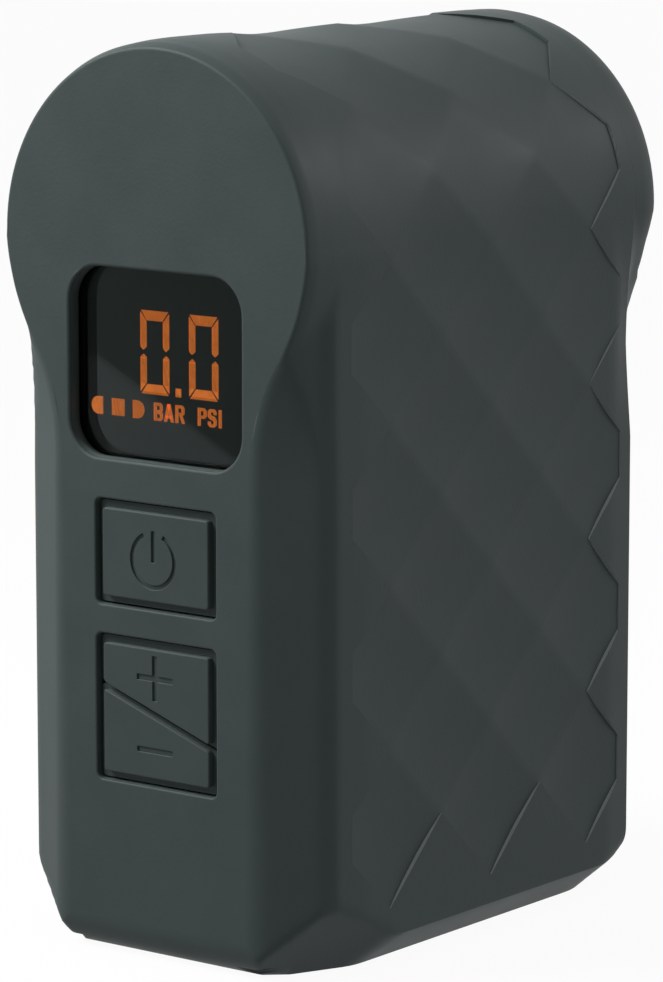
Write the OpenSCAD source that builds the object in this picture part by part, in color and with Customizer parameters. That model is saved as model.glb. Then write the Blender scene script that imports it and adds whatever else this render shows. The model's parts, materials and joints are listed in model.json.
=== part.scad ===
// Cordless tyre inflator: upright case with a round head, sunk gauge, three keys, pump inside.
// Millimetres, +Z up, front face towards -Y, origin at the middle of the footprint on the floor.

/* [Case] */
// Case width across the sides; the head is a barrel of this diameter
body_w = 56; // [55.6:0.2:57.2]
// Case depth, front face to rear face
body_d = 84; // [83.4:0.2:86]
// Case height, foot to crown
body_h = 131; // [130:0.5:134]
// Case wall thickness
wall = 2.2; // [2.1:0.05:2.3]
// How far the round front of the head is smaller than the barrel, on the radius
front_in = 1; // [0.8:0.1:1.3]
// How far the round rear of the head is smaller than the barrel, on the radius
rear_in = 0.5; // [0.3:0.1:0.8]
// Distance of the flat front face's edge inside the side, below the head
face_in = 10.2; // [9.8:0.1:10.6]
// Distance of the chamfer's rear edge inside the side
edge_in = 2.2; // [1.8:0.1:2.6]
// Depth of the corner chamfer behind the front face
edge_dy = 4.4; // [4:0.1:4.8]
// Depth of the small second facet beside the chamfer
facet_dy = 1.8; // [1.5:0.1:2.1]
// Distance of the second facet's rear edge inside the side
side_in = 0.6; // [0.5:0.05:0.8]
// Depth from the front face at which the side reaches full width
side_dy = 12; // [11:0.5:13]
// Height where the front face starts to widen into the head, below the head axis
web_drop = 32; // [31:0.5:33]
// Rounding of the bottom edge at front and rear
foot_r = 5; // [4.5:0.1:5.4]
// Distance of the flat underside's edge inside the side
foot_in = 5.3; // [5:0.1:5.7]
// Height of the sloping bottom edge at the sides
foot_rise = 4.6; // [4.2:0.1:5]
// Height of the corner facets at the front of the foot
corner_rise = 10; // [9:0.5:11]
// Height of the corner facets at the rear of the foot
back_rise = 5; // [4.6:0.1:5.4]

/* [Diamond relief] */
// Width pitch of the diamond lattice, vertex column to vertex column
cell_y = 24.3; // [24:0.1:24.6]
// Height of the lowest diamond tips above the floor
field_z = 8.85; // [8.4:0.05:9.4]
// Distance of the clipped lattice edges outside the outer vertex columns
field_clip = 8.5; // [8:0.1:8.8]
// Depth of the dish centres below the case surface
dish_depth = 0.75; // [0.6:0.05:0.85]
// Depth of the crests midway between two vertices
crest_depth = 0.4; // [0.3:0.02:0.46]
// Depth of the vertices
tip_depth = 0.06; // [0.04:0.01:0.08]

/* [Rear cover] */
// Length of the rear cover, from the parting line to the rear face
cover_l = 6.2; // [6:0.1:6.6]
// Clearance between the cover's lip and the case
cover_gap = 0.1; // [0.06:0.01:0.15]
// Depth of the cover's lip inside the case
lip_l = 2; // [1.6:0.1:2.2]
// Lip thickness
lip_t = 1.2; // [1:0.05:1.3]
// Cover screw thread diameter
cover_screw_d = 2.2; // [2:0.1:2.4]
// Height of the vent slots
vent_h = 1.6; // [1.4:0.1:1.8]
// Width of the vent slots
vent_w = 16; // [14:0.5:17]

/* [Gauge] */
// Width of the case beside the window recess, on each side
win_side = 12.5; // [12.3:0.1:12.7]
// Height of the window recess
win_h = 27.1; // [26.7:0.1:27.4]
// Corner radius of the window recess
win_r = 5.3; // [5:0.1:5.6]
// Height of the window centre below the head axis
win_drop = 17.6; // [17.4:0.1:17.9]
// Window thickness
glass_t = 1; // [0.8:0.05:1.1]
// Digit height
digit_h = 11.8; // [11.4:0.1:12]
// Digit width
digit_w = 5.3; // [5:0.1:5.4]
// Width of a digit segment
seg_w = 1.1; // [1:0.05:1.2]

/* [Keys] */
// Width of the key openings
slot_w = 21.8; // [21.4:0.1:22]
// Height of the power key opening
power_slot_h = 15.2; // [15:0.1:15.4]
// Height of the plus and minus key opening
level_slot_h = 21.2; // [21:0.1:21.4]
// Centre of the power key below the head axis
power_drop = 44.5; // [44.3:0.1:44.7]
// Centre of the plus and minus keys below the head axis
level_drop = 66.9; // [66.7:0.1:67.1]
// Gap between the keys and the case
key_gap = 1.3; // [1.1:0.05:1.35]
// Half width of the slit between the plus and minus keys
slit = 0.5; // [0.4:0.05:0.6]
// Drop of the slit from its left end to its right end
slit_drop = 6.7; // [6.5:0.1:7]
// Key travel when pressed
key_travel = 0.7; // [0.5:0.05:0.75]
// Width of the engraved symbol lines
mark_w = 0.6; // [0.5:0.05:0.65]
// Depth of the engraved symbols
mark_t = 0.3; // [0.25:0.05:0.35]
// Radius of the power symbol ring
ring_r = 3.85; // [3.75:0.05:4]

/* [Battery] */
// Cell diameter
cell_d = 18.4; // [18.2:0.05:18.6]
// Cell length
cell_l = 65; // [64.5:0.1:65.4]
// Height of the cell axes above the floor
cell_z = 15; // [14.8:0.1:15.3]

// Width of the charging socket
socket_w = 8.9; // [8.8:0.02:9]
// Height of the charging socket
socket_h = 3.2; // [3.1:0.02:3.3]

/* [Pump] */
// Motor diameter
motor_d = 28.4; // [27.6:0.1:28.6]
// Motor case length
motor_l = 32; // [31:0.5:32.5]
// Motor shaft diameter
shaft_d = 2.3; // [2:0.1:2.4]
// Tooth module of the gears
tooth_m = 0.6; // [0.59:0.01:0.61]
// Teeth of the pinion
pinion_n = 10; // [10:1:10]
// Teeth of the drive gear
gear_n = 50; // [50:1:50]
// Thickness of the gears
gear_t = 4; // [3.8:0.1:4.2]
// Gear axle diameter
axle_d = 3; // [2.8:0.1:3.2]
// Running clearance of the gear on its axle, on the radius
axle_fit = 0.05; // [0.03:0.01:0.08]
// Crank radius, half the piston stroke
crank_r = 6.5; // [6.2:0.1:6.6]
// Crank pin diameter
pin_d = 3; // [2.8:0.1:3.2]
// Cylinder bore diameter
bore_d = 16; // [15.8:0.1:16.2]
// Cylinder wall
bore_wall = 2; // [1.8:0.1:2.2]
// Running clearance of the piston in the bore, on the radius
piston_fit = 0.1; // [0.06:0.01:0.1]
// Distance from the rod's big end to the piston crown
rod_l = 45.6; // [45.4:0.1:45.8]

/* [Air outlet] */
// Bore diameter of the outlet thread
outlet_d = 7.7; // [7.5:0.1:8]
// Depth of the outlet thread
outlet_l = 7; // [6.5:0.5:7]
// Outside diameter of the outlet bush
outlet_od = 11; // [10.8:0.1:11.4]
// Height of the outlet above the head axis
outlet_rise = 8; // [7.8:0.1:8.4]
// Delivery tube outside diameter
tube_d = 4.4; // [4.2:0.1:4.5]

/* [Hidden] */
$fn = 72;
e = 0.01;
hr = body_w/2;
hz = body_h - hr;
front_r = hr - front_in;
rear_r = hr - rear_in;
face_hw = hr - face_in;
edge_hw = hr - edge_in;
side_hw = hr - side_in;
foot_hw = hr - foot_in;
win_w = body_w - 2*win_side;
yf = -body_d/2;
yr = body_d/2;
yi = yf + wall;
yp = yr - cover_l;
cell_step = cell_y/2;
row_step = (hz + hr*PI/2 - field_z)/12;
win_z = hz - win_drop;
power_z = hz - power_drop;
level_z = hz - level_drop;
key_w = slot_w - 2*key_gap;
power_h = power_slot_h - 2*key_gap;
level_h = level_slot_h - 2*key_gap;
flange_y = yi + 0.3;
flange_t = 1.2;
board_y = yf + 9;
board_t = 1.6;
board_hw = 17;
head_gap = 2.4;
cyl_od = bore_d + 2*bore_wall;
head_w = cyl_od + 4;
cell_y0 = board_y + board_t + 0.9;
cell_y1 = cell_y0 + cell_l;
cell_top = cell_z + cell_d/2;
charge_z = cell_top + 1.2;
charge_y0 = yp - 17.8;
charge_y1 = yp + 0.2;
charge_hw = 20.5;
socket_z = charge_z + board_t + socket_h/2;
board_z0 = hz - 76;
board_z1 = hz - 33.6;
axis_d = tooth_m*(pinion_n + gear_n)/2;
motor_z = hz - axis_d;
crank_y = board_y + board_t + head_gap + head_w/2;
plate_y = crank_y + cyl_od/2 + 1;
plate_t = 2.4;
gear_y = plate_y - 1.2 - gear_t;
cyl_top = hz - 26;
cyl_bot = hz - 53;
eye_z = hz + crank_r;
crown_z = eye_z - rod_l;
head_z0 = cyl_bot - 9;
outlet_z = hz + outlet_rise;
tube_y = yr - wall - 3;
port_z = cyl_bot - 4.7;

// --- shared shapes ---

function unit(v) = v/norm(v);
function outward(a, b) = unit([b[1] - a[1], a[0] - b[0]]);
function inset(p, d) = [for (i = [0:len(p) - 1])
    let (n1 = outward(p[(i + len(p) - 1)%len(p)], p[i]), n2 = outward(p[i], p[(i + 1)%len(p)]))
    p[i] - d*(n1 + n2)/(1 + n1*n2)];

module along_y(y0, y1) { translate([0, y1, 0]) rotate([90, 0, 0]) linear_extrude(y1 - y0) children(); }
module rod_y(x, z, y0, y1, r) { translate([x, y1, z]) rotate([90, 0, 0]) cylinder(h = y1 - y0, r = r); }
module plate_xz(x0, x1, y0, y1, z0, z1) { translate([x0, y0, z0]) cube([x1 - x0, y1 - y0, z1 - z0]); }
module rounded(w, h, r) {
    square([w, h - 2*r], center = true);
    square([w - 2*r, h], center = true);
    for (x = [-1, 1], z = [-1, 1]) translate([x*(w/2 - r), z*(h/2 - r)]) circle(r);
}
module screw_y(x, z, y0, y1, r, head_r, head_t, dir) {
    rod_y(x, z, y0, y1, r);
    rod_y(x, z, dir > 0 ? y1 : y0 - head_t, dir > 0 ? y1 + head_t : y0, head_r);
}
module strip(p, r) {
    for (i = [0:len(p) - 2]) let (a = p[i], b = p[i + 1]) translate([for (k = [0:2]) min(a[k], b[k]) - r])
        cube([for (k = [0:2]) abs(a[k] - b[k]) + 2*r]);
}

// plan section of the lower case, counter-clockwise
quarter = [[face_hw, yf], [edge_hw, yf + edge_dy], [side_hw, yf + edge_dy + facet_dy], [hr, yf + side_dy]];
plan = concat(quarter, [for (i = [3:-1:0]) [quarter[i][0], -quarter[i][1]]],
    [for (i = [0:3]) [-quarter[i][0], -quarter[i][1]]], [for (i = [3:-1:0]) [-quarter[i][0], quarter[i][1]]]);

// half-space cut below the sloping foot edges, moved inwards by d
module foot_cuts(d) {
    slope = atan2(foot_rise, hr - foot_hw);
    for (s = [-1, 1]) scale([s, 1, 1]) translate([foot_hw, -60, 0]) rotate([0, -slope, 0])
        translate([-20, 0, -20 + d]) cube([60, 120, 20]);
    a = [face_hw, yf + foot_r];
    for (end = [[1, 15.7, corner_rise], [-1, 11.7, back_rise]]) {
        b = [foot_hw, yf + end[1]];
        turn = atan2(b[1] - a[1], b[0] - a[0]);
        reach = ([edge_hw, yf + edge_dy] - a)*[sin(turn), -cos(turn)];
        rise = atan2(end[2], reach);
        for (s = [-1, 1]) scale([s, end[0], 1]) translate([a[0], a[1], 0]) rotate([0, 0, turn])
            rotate([-rise, 0, 0]) translate([-40, -40, -20 + d]) cube([80, 60, 20]);
    }
}
module end_rounding(d) {
    r = foot_r - d;
    for (t = [-1, 1]) scale([1, t, 1]) difference() {
        translate([-40, yf - 5, -5]) cube([80, foot_r + 5, foot_r + 5]);
        translate([-41, yf + foot_r, foot_r]) rotate([0, 90, 0]) cylinder(h = 82, r = r);
    }
}
module trunk(d) {
    difference() {
        translate([0, 0, d]) linear_extrude(hz - d) polygon(inset(plan, d));
        foot_cuts(d);
        end_rounding(d);
    }
}
module barrel() {
    translate([0, 0, hz]) rotate([-90, 0, 0]) rotate_extrude($fn = 144) polygon([[0, yf], [front_r - 0.4, yf],
        [front_r, yf + 0.4], [front_r + (hr - front_r)*0.6, yf + 1.5], [hr - 0.1, yf + 5], [hr, yf + 8],
        [hr, yr - 8], [hr - 0.1, yr - 3], [rear_r, yr - 0.5], [rear_r - 0.4, yr], [0, yr]]);
}
// the front face widens from the trunk into the round head through a concave cone on each side
module web(t) {
    sweep_r = (web_drop*web_drop + face_hw*face_hw - front_r*front_r)/(2*(front_r - face_hw));
    cx = face_hw + sweep_r;
    slope = (edge_hw - face_hw)/edge_dy;
    tip = [cx, -web_drop]*front_r/norm([cx, web_drop]);
    merge_z = -sqrt((hr - 0.15)*(hr - 0.15) - edge_hw*edge_hw);
    scale([1, t, 1]) for (s = [-1, 1]) scale([s, 1, 1]) difference() {
        intersection() {
            along_y(yf, yf + edge_dy) translate([0, hz]) polygon([[face_hw - 3, -web_drop],
                [edge_hw, -web_drop], [edge_hw, merge_z], tip, [face_hw - 3, tip[1]]]);
            linear_extrude(hz)
                polygon([[0, yf], [tip[0] + 0.1, yf], [edge_hw, yf + edge_dy], [0, yf + edge_dy]]);
        }
        translate([cx, yf, hz - web_drop]) rotate([-90, 0, 0])
            cylinder(h = edge_dy, r1 = sweep_r, r2 = sweep_r - slope*edge_dy, $fn = 144);
    }
}
module outside() {
    barrel();
    trunk(0);
    web(1);
    web(-1);
}
module inside() {
    trunk(wall);
    translate([0, 0, hz]) rotate([90, 0, 0])
        cylinder(h = body_d - 2*wall, r = min(front_r, rear_r) + 0.8 - wall, center = true, $fn = 144);
}

// point of the relief: column c and row r of a grid at half pitch, d below the case surface
col_y = [for (c = [0:12]) c == 0 ? -cell_y - field_clip : c == 12 ? cell_y + field_clip :
    c == 1 ? -cell_y - cell_step/2 : c == 11 ? cell_y + cell_step/2 : (c - 6)*cell_step/2];
function rise(r) = field_z + r*row_step/2;
function skin(y, s, d) = s <= hz ? [hr - d, y, s] : s >= hz + hr*PI ? [d - hr, y, 2*hz + hr*PI - s] :
    let (a = (s - hz)/hr*180/PI) [(hr - d)*cos(a), y, hz + (hr - d)*sin(a)];
function depth(c, r) = c == 0 || c == 12 ? crest_depth : c%2 == 1 && r%2 == 1 ? crest_depth :
    c%2 == 1 || r%2 == 1 ? (2*dish_depth + crest_depth)/3 : (c/2 + r/2)%2 == 1 ? tip_depth : dish_depth;
clip_row = 2*(1 - field_clip/cell_step);
clip_depth = tip_depth + (crest_depth - tip_depth)*clip_row;
edge_rows = [for (k = [0:11], s = [-1, 1]) 4*k + 2 + s*clip_row];
grid_pts = [for (c = [0:12], r = [0:48]) [c, r, depth(c, r)]];
edge_pts = [for (c = [0, 12], r = edge_rows) [c, r, clip_depth]];
field = concat(grid_pts, edge_pts);
function gi(c, r) = c*49 + r;
function ei(c, k, s) = 637 + (c == 0 ? 0 : 24) + 2*k + (s > 0 ? 1 : 0);
centres = [for (c = [2:2:10], r = [2:2:46]) if ((c/2 + r/2)%2 == 0) [c, r]];
function flip(t, s) = s > 0 ? t : [t[0], t[2], t[1]];
function tile(c, r, sx, sy) = let (m = gi(c + sx, r + sy), b = gi(c, r + 2*sy), o = gi(c, r),
    ca = gi(c + sx, r), cb = gi(c, r + sy), out = c + 2*sx == 0 || c + 2*sx == 12)
    [for (t = concat([[o, ca, cb], [cb, m, b], [cb, ca, m]], out ?
        [[ca, ei(c + 2*sx, (r - 2)/4, sy), m], [ca, gi(c + 2*sx, r), ei(c + 2*sx, (r - 2)/4, sy)]] :
        [[ca, gi(c + 2*sx, r), m]])) flip(t, sx*sy)];
tiles = [for (q = centres, sx = [-1, 1], sy = [-1, 1], t = tile(q[0], q[1], sx, sy)) t];
rim_low = [for (c = [2:10]) gi(c, c%4 == 2 ? 0 : c%2 == 1 ? 1 : 2)];
rim_right = [for (k = [0:11], q = [gi(11, 4*k + 1), ei(12, k, -1), gi(12, 4*k + 2), ei(12, k, 1),
    gi(11, 4*k + 3), gi(10, 4*k + 4)]) q];
rim_top = [for (c = [9:-1:2]) gi(c, c%4 == 2 ? 48 : c%2 == 1 ? 47 : 46)];
rim_left = [for (k = [11:-1:0], q = [gi(1, 4*k + 3), ei(0, k, 1), gi(0, 4*k + 2), ei(0, k, -1),
    gi(1, 4*k + 1), gi(2, 4*k)]) q];
rim = concat(rim_low, rim_right, rim_top, [for (i = [0:len(rim_left) - 2]) rim_left[i]]);
module relief_cutter() {
    n = len(field);
    m = len(rim);
    low = [for (p = field) skin(col_y[p[0]], rise(p[1]), p[2])];
    high = [for (p = field) skin(col_y[p[0]], rise(p[1]), -1.5)];
    walls = [for (i = [0:m - 1], t = [[rim[i], rim[(i + 1)%m], rim[(i + 1)%m] + n],
        [rim[i], rim[(i + 1)%m] + n, rim[i] + n]]) t];
    polyhedron(concat(low, high), concat(tiles, [for (t = tiles) [t[0] + n, t[2] + n, t[1] + n]],
        [for (t = walls) [t[0], t[2], t[1]]]));
}

// --- case ---

post_r = 2.8;
frame_posts = [for (s = [-1, 1]) [s*(hr - 7.5)*cos(47), hz + (hr - 7.5)*sin(47), yi - 0.5],
    for (s = [-1, 1]) [s*(hr - 7), hz - 39, yf + 3.8]];
board_posts = [for (x = [-1, 1], z = [board_z0 + 3, board_z1 - 3]) [x*(board_hw - 2.4), z]];
cover_posts = [for (s = [-1, 1]) [s*(hr - 4.95)*cos(49.4), hz + (hr - 4.95)*sin(49.4)],
    for (s = [-1, 1]) [s*(face_hw - 3.2), hz - 36], for (s = [-1, 1]) [s*(face_hw - 3.2), cell_top + 5.8]];
charge_posts = [for (s = [-1, 1]) [s*(charge_hw - 1.8), charge_y0 + 4]];

module housing() {
    difference() {
        outside();
        inside();
        relief_cutter();
        translate([-50, yp, -10]) cube([100, 50, 200]);
        along_y(yf - 1, yi + 1) translate([0, win_z]) rounded(win_w, win_h, win_r);
        along_y(yf - 1, yi + 1) translate([0, power_z]) rounded(slot_w, power_slot_h, 1);
        along_y(yf - 1, yi + 1) translate([0, level_z]) rounded(slot_w, level_slot_h, 1);
    }
    for (p = frame_posts) difference() {
        rod_y(p[0], p[1], p[2], plate_y, 3);
        rod_y(p[0], p[1], plate_y - 8, plate_y + 1, 1.1);
    }
    for (p = charge_posts) difference() {
        translate([min(p[0] - sign(p[0])*1.8, sign(p[0])*(hr - 1.5)), charge_y0 + 1, charge_z - 4.4])
            cube([hr - charge_hw + 2.1, 10, 4.4]);
        translate([p[0], p[1], charge_z - 4]) cylinder(h = 5, r = 0.8);
    }
    for (p = board_posts) difference() {
        rod_y(p[0], p[1], yi - 0.5, board_y, 1.9);
        rod_y(p[0], p[1], board_y - 4, board_y + 1, 0.8);
    }
    for (p = cover_posts) difference() {
        union() {
            rod_y(p[0], p[1], yp - 16, yp - lip_l - 0.1, post_r);
            if (p[1] < hz) plate_xz(min(p[0], sign(p[0])*(hr - 1.5)), max(p[0], sign(p[0])*(hr - 1.5)),
                yp - 16, yp - lip_l - 0.1, p[1] - 1, p[1] + 1);
        }
        rod_y(p[0], p[1], yp - 13, yp, cover_screw_d/2);
    }
}

module inner_form(d, y0, y1) {
    intersection() {
        union() {
            trunk(wall + d);
            translate([0, 0, hz]) rotate([90, 0, 0])
                cylinder(h = body_d, r = min(front_r, rear_r) + 0.8 - wall - d, center = true, $fn = 144);
        }
        translate([-50, y0, -10]) cube([100, y1 - y0, 200]);
    }
}
module rear_cover() {
    difference() {
        union() {
            difference() {
                outside();
                translate([-50, -60, -10]) cube([100, 60 + yp, 200]);
                inside();
            }
            difference() {
                inner_form(cover_gap, yp - lip_l, yp + 1);
                inner_form(cover_gap + lip_t, yp - lip_l - 1, yp + 2);
            }
            for (p = cover_posts) rod_y(p[0], p[1], yp - lip_l, yr - wall + 0.5, post_r);
        }
        for (p = cover_posts) {
            rod_y(p[0], p[1], yp - lip_l - 1, yr + 1, cover_screw_d/2 + 0.2);
            rod_y(p[0], p[1], yr - 3, yr + 1, cover_screw_d + 0.2);
        }
        for (k = [0:4]) let (z = hz - 44 + 3.4*k)
            plate_xz(-vent_w/2, vent_w/2, yr - wall - 1, yr + 1, z, z + vent_h);
        along_y(yr - wall - 1, yr + 1) translate([0, socket_z])
            rounded(socket_w + 0.5, socket_h + 0.5, socket_h/2 + 0.2);
        rod_y(0, outlet_z, yr - wall - 1, yr + 1, outlet_od/2 + 0.05);
    }
}
module cover_screws() {
    for (p = cover_posts) screw_y(p[0], p[1], yp - 12, yr - 3, cover_screw_d/2, cover_screw_d, 1.4, 1);
}

// --- gauge ---

module display_window() {
    along_y(yi, yi + glass_t) translate([0, win_z]) rounded(win_w + 3, win_h + 3, win_r + 1);
}
module display_bezel() {
    along_y(yi + glass_t, yi + glass_t + 2.8) translate([0, win_z]) difference() {
        rounded(win_w + 4.4, win_h + 4, win_r + 1);
        square([win_w - 0.6, win_h - 0.5], center = true);
    }
}
module display_module() {
    y = yi + glass_t;
    plate_xz(-15.1, 15.1, y + 0.15, y + 4, win_z - 13.2, win_z + 13.2);
}
module bars(list) { for (b = list) translate([b[0], b[1]]) square([b[2], b[3]]); }
module digit_0() {
    w = digit_w/2;
    h = digit_h/2;
    g = 0.09;
    for (s = [-1, 1], t = [-1, 1]) {
        scale([s, t]) polygon([[w, h - g*2], [w, 0.75], [w - seg_w/2, 0.3], [w - seg_w, 0.75],
            [w - seg_w, h - seg_w*1.3 - g]]);
    }
    for (t = [-1, 1]) scale([1, t])
        polygon([[g - w, h], [w - g, h], [w - seg_w - g, h - seg_w*1.3], [g + seg_w - w, h - seg_w*1.3]]);
}
module letter_strokes() {
    translate([-2.68, -1.27]) {
        bars([[0, 0, 0.42, 2.54], [1.1, 0.2, 0.42, 2.14], for (z = [0, 1.07, 2.14]) [0, z, 1.3, 0.4]]);
        polygon([[1.85, 0], [2.27, 0], [2.72, 2], [3.17, 0], [3.59, 0], [2.95, 2.54], [2.49, 2.54]]);
        bars([[2.3, 0.5, 0.85, 0.38], [3.95, 0, 0.42, 2.54], [5.05, 1.2, 0.42, 1.2],
            for (z = [1.07, 2.14]) [3.95, z, 1.3, 0.4]]);
        polygon([[4.55, 1.2], [5.05, 0], [5.5, 0], [5, 1.2]]);
    }
    translate([5.26, -1.27]) {
        bars([[0, 0, 0.42, 2.54], [0, 1.0, 1.2, 0.4], [0, 2.14, 1.2, 0.4], [0.95, 1.1, 0.42, 1.35]]);
        bars([[2.85, 0.1, 0.42, 1.3], [1.75, 1.2, 0.42, 1.3], for (z = [0, 1.07, 2.14]) [1.8, z, 1.4, 0.4]]);
        bars([[3.75, 0, 0.42, 2.54]]);
    }
}
module display_segments() {
    along_y(yi + glass_t, yi + glass_t + 0.15) {
        for (x = [-2.47, 6.33]) translate([x, hz - 16]) digit_0();
        translate([1.76, hz - 21.3]) square([0.92, 1.2], center = true);
        translate([0, hz - 24.3]) {
            letter_strokes();
            translate([-9.25, 0]) square([2.2, 2.4], center = true);
            for (s = [-1, 1]) translate([-9.25 + s*2.8, 0]) {
                translate([s*0.385, 0]) square([0.77, 2.54], center = true);
                intersection() {
                    translate([s*0.77, 0]) circle(1.27);
                    translate([s*1.5, 0]) square([3, 2.54], center = true);
                }
            }
        }
    }
}
module display_ribbon() { plate_xz(-6, 6, board_y - 0.25, board_y, board_z1 - 4, win_z - 9); }

// --- keys ---

module key_ring() {
    difference() {
        circle(ring_r + mark_w/2);
        circle(ring_r - mark_w/2);
        polygon([[0, 0], [-2.9, 6], [2.9, 6]]);
    }
    translate([0, 1.95]) square([mark_w, 4.5], center = true);
}
module key_body(slot_h, center_z, clip) {
    along_y(yf, flange_y + 0.2) translate([0, center_z]) intersection() {
        rounded(key_w, slot_h - 2*key_gap, 0.6);
        polygon(clip);
    }
    along_y(flange_y, flange_y + flange_t) translate([0, center_z]) intersection() {
        rounded(slot_w + 2.4, slot_h + 2.4, 1);
        polygon(clip);
    }
}
whole_slot = [[-30, -30], [30, -30], [30, 30], [-30, 30]];
mid_z = -0.26;
fall = slit_drop/2*30/(key_w/2);
function above(k) = [[-30, mid_z + fall + k], [30, mid_z - fall + k], [30, 30], [-30, 30]];
function below(k) = [[-30, -30], [30, -30], [30, mid_z - fall - k], [-30, mid_z + fall - k]];
module power_key() {
    difference() {
        key_body(power_slot_h, power_z, whole_slot);
        along_y(yf - 1, yf + mark_t) translate([-0.35, power_z - 0.4]) key_ring();
    }
}
module plus_key() {
    difference() {
        key_body(level_slot_h, level_z, above(slit));
        along_y(yf - 1, yf + mark_t) translate([-0.2, level_z + 5.1]) {
            square([6.5, mark_w], center = true);
            square([mark_w, 6.5], center = true);
        }
    }
}
module minus_key() {
    difference() {
        key_body(level_slot_h, level_z, below(slit));
        along_y(yf - 1, yf + mark_t) translate([-0.2, level_z - 5.3]) square([6.5, mark_w], center = true);
    }
}
switch_t = 3.4;
plunger_y = board_y - switch_t - 0.3 - key_travel;
module plunger(z) { rod_y(0, z, flange_y + flange_t, plunger_y, 2.2); }
module power_plunger() { plunger(power_z); }
module plus_plunger() { plunger(level_z + 6); }
module minus_plunger() { plunger(level_z - 6.2); }
module key_switches() {
    for (z = [power_z, level_z + 6, level_z - 6.2]) {
        plate_xz(-3, 3, board_y - 2.6, board_y, z - 3, z + 3);
        rod_y(0, z, board_y - switch_t, board_y - 2.5, 1.7);
    }
}

// --- electronics ---

module control_board() {
    difference() {
        plate_xz(-board_hw, board_hw, board_y, board_y + board_t, board_z0, board_z1);
        for (p = board_posts) rod_y(p[0], p[1], board_y - 1, board_y + board_t + 1, 0.95);
    }
}
module board_screws() {
    for (p = board_posts) screw_y(p[0], p[1], board_y - 3.5, board_y + board_t, 0.8, 1.6, 1, 1);
}
sensor_w = 6;
sensor_x = board_hw - sensor_w/2;
sensor_z = port_z - 9.8;
nipple_y = board_y + board_t + 1.9;
module pressure_sensor() {
    y = board_y + board_t;
    plate_xz(sensor_x - sensor_w/2, board_hw, y, y + 3.8, sensor_z - 3, sensor_z + 3);
    translate([sensor_x, nipple_y, sensor_z + 2.8]) cylinder(h = 2.2, r = 0.8);
}
module sensor_hose() {
    translate([sensor_x, nipple_y, sensor_z + 3.4]) difference() {
        cylinder(h = 4, r = 1.5);
        translate([0, 0, -1]) cylinder(h = 6, r = 0.82);
    }
}
cell_x = cell_d/2 + 0.4;
module cell(s) {
    difference() {
        rod_y(s*cell_x, cell_z, cell_y0, cell_y1, cell_d/2);
        groove_y = s > 0 ? cell_y0 + 4 : cell_y1 - 4;
        difference() {
            rod_y(s*cell_x, cell_z, groove_y - 0.6, groove_y + 0.6, cell_d);
            rod_y(s*cell_x, cell_z, cell_y0 - 1, cell_y1 + 1, cell_d/2 - 0.4);
        }
    }
}
module battery_cell_left() { cell(-1); }
module battery_cell_right() { cell(1); }
module battery_tray() {
    difference() {
        union() {
            plate_xz(-cell_x - 10, cell_x + 10, cell_y0 + 0.5, cell_y1 - 4.5, cell_z - 10.5, cell_z - 3);
            for (s = [-1, 1]) plate_xz(s*7 - 1.5, s*7 + 1.5, cell_y0 + 0.5, cell_y1 - 4.5, wall, cell_z - 10);
        }
        for (s = [-1, 1]) rod_y(s*cell_x, cell_z, cell_y0 - 1, cell_y1, cell_d/2 + 0.1);
    }
}
module cell_tabs() {
    plate_xz(-cell_x - 3, cell_x + 3, cell_y0 - 0.3, cell_y0, cell_z - 3, cell_z + 3);
    for (s = [-1, 1]) plate_xz(s*cell_x - 3, s*cell_x + 3, cell_y1, cell_y1 + 0.3, cell_z - 3, cell_z + 3);
}
module battery_leads() {
    y = cell_y1 + 0.8;
    for (s = [-1, 1]) strip([[s*cell_x, y, cell_z], [s*cell_x, y, charge_z - 0.5]], 0.5);
}
module charge_board() {
    difference() {
        translate([-charge_hw, charge_y0, charge_z]) cube([2*charge_hw, charge_y1 - charge_y0, board_t]);
        for (p = charge_posts) translate([p[0], p[1], charge_z - 1]) cylinder(h = 4, r = 0.95);
    }
}
module charge_screws() {
    for (p = charge_posts) translate([p[0], p[1], charge_z - 3.5]) {
        cylinder(h = 3.5 + board_t, r = 0.8);
        translate([0, 0, 3.5 + board_t]) cylinder(h = 1, r = 1.6);
    }
}
module charge_socket() {
    difference() {
        along_y(yr - 7.6, yr - 0.3) translate([0, socket_z]) rounded(socket_w, socket_h, socket_h/2 - 0.05);
        along_y(yr - 6.6, yr + 1) translate([0, socket_z])
            rounded(socket_w - 0.6, socket_h - 0.6, socket_h/2 - 0.35);
    }
    plate_xz(-3.3, 3.3, yr - 6.8, yr - 1.3, socket_z - 0.35, socket_z + 0.35);
}

// --- pump drive ---

motor_y = plate_y + plate_t;
cap_y = motor_y + motor_l - 3;
module motor_case() {
    difference() {
        union() {
            rod_y(0, motor_z, motor_y, cap_y, motor_d/2);
            rod_y(0, motor_z, plate_y, motor_y + 1, 5);
        }
        rod_y(0, motor_z, plate_y - 1, cap_y - 5, shaft_d/2 + axle_fit);
        for (s = [-1, 1]) rod_y(s*9, motor_z, motor_y - 1, motor_y + 4, 1.25);
    }
}
module motor_end_cap() {
    rod_y(0, motor_z, cap_y, cap_y + 3, motor_d/2 - 0.6);
    for (s = [-1, 1]) plate_xz(s*6 - 1.2, s*6 + 1.2, cap_y + 2.5, cap_y + 5, motor_z - 0.3, motor_z + 0.3);
}
module motor_screws() { for (s = [-1, 1]) screw_y(s*9, motor_z, plate_y, motor_y + 3.6, 1.25, 2.2, 0.9, -1); }
module motor_leads() {
    x = board_hw - 3.6;
    y = cap_y + 4.2;
    z = hz - 47;
    for (s = [-1, 1])
        strip([[s*6, y, motor_z - 1], [s*6, y, z], [s*x, y, z], [s*x, board_y + board_t + 0.7, z]], 0.7);
}
module motor_shaft() { rod_y(0, motor_z, gear_y - 0.5, cap_y - 8, shaft_d/2); }
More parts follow.
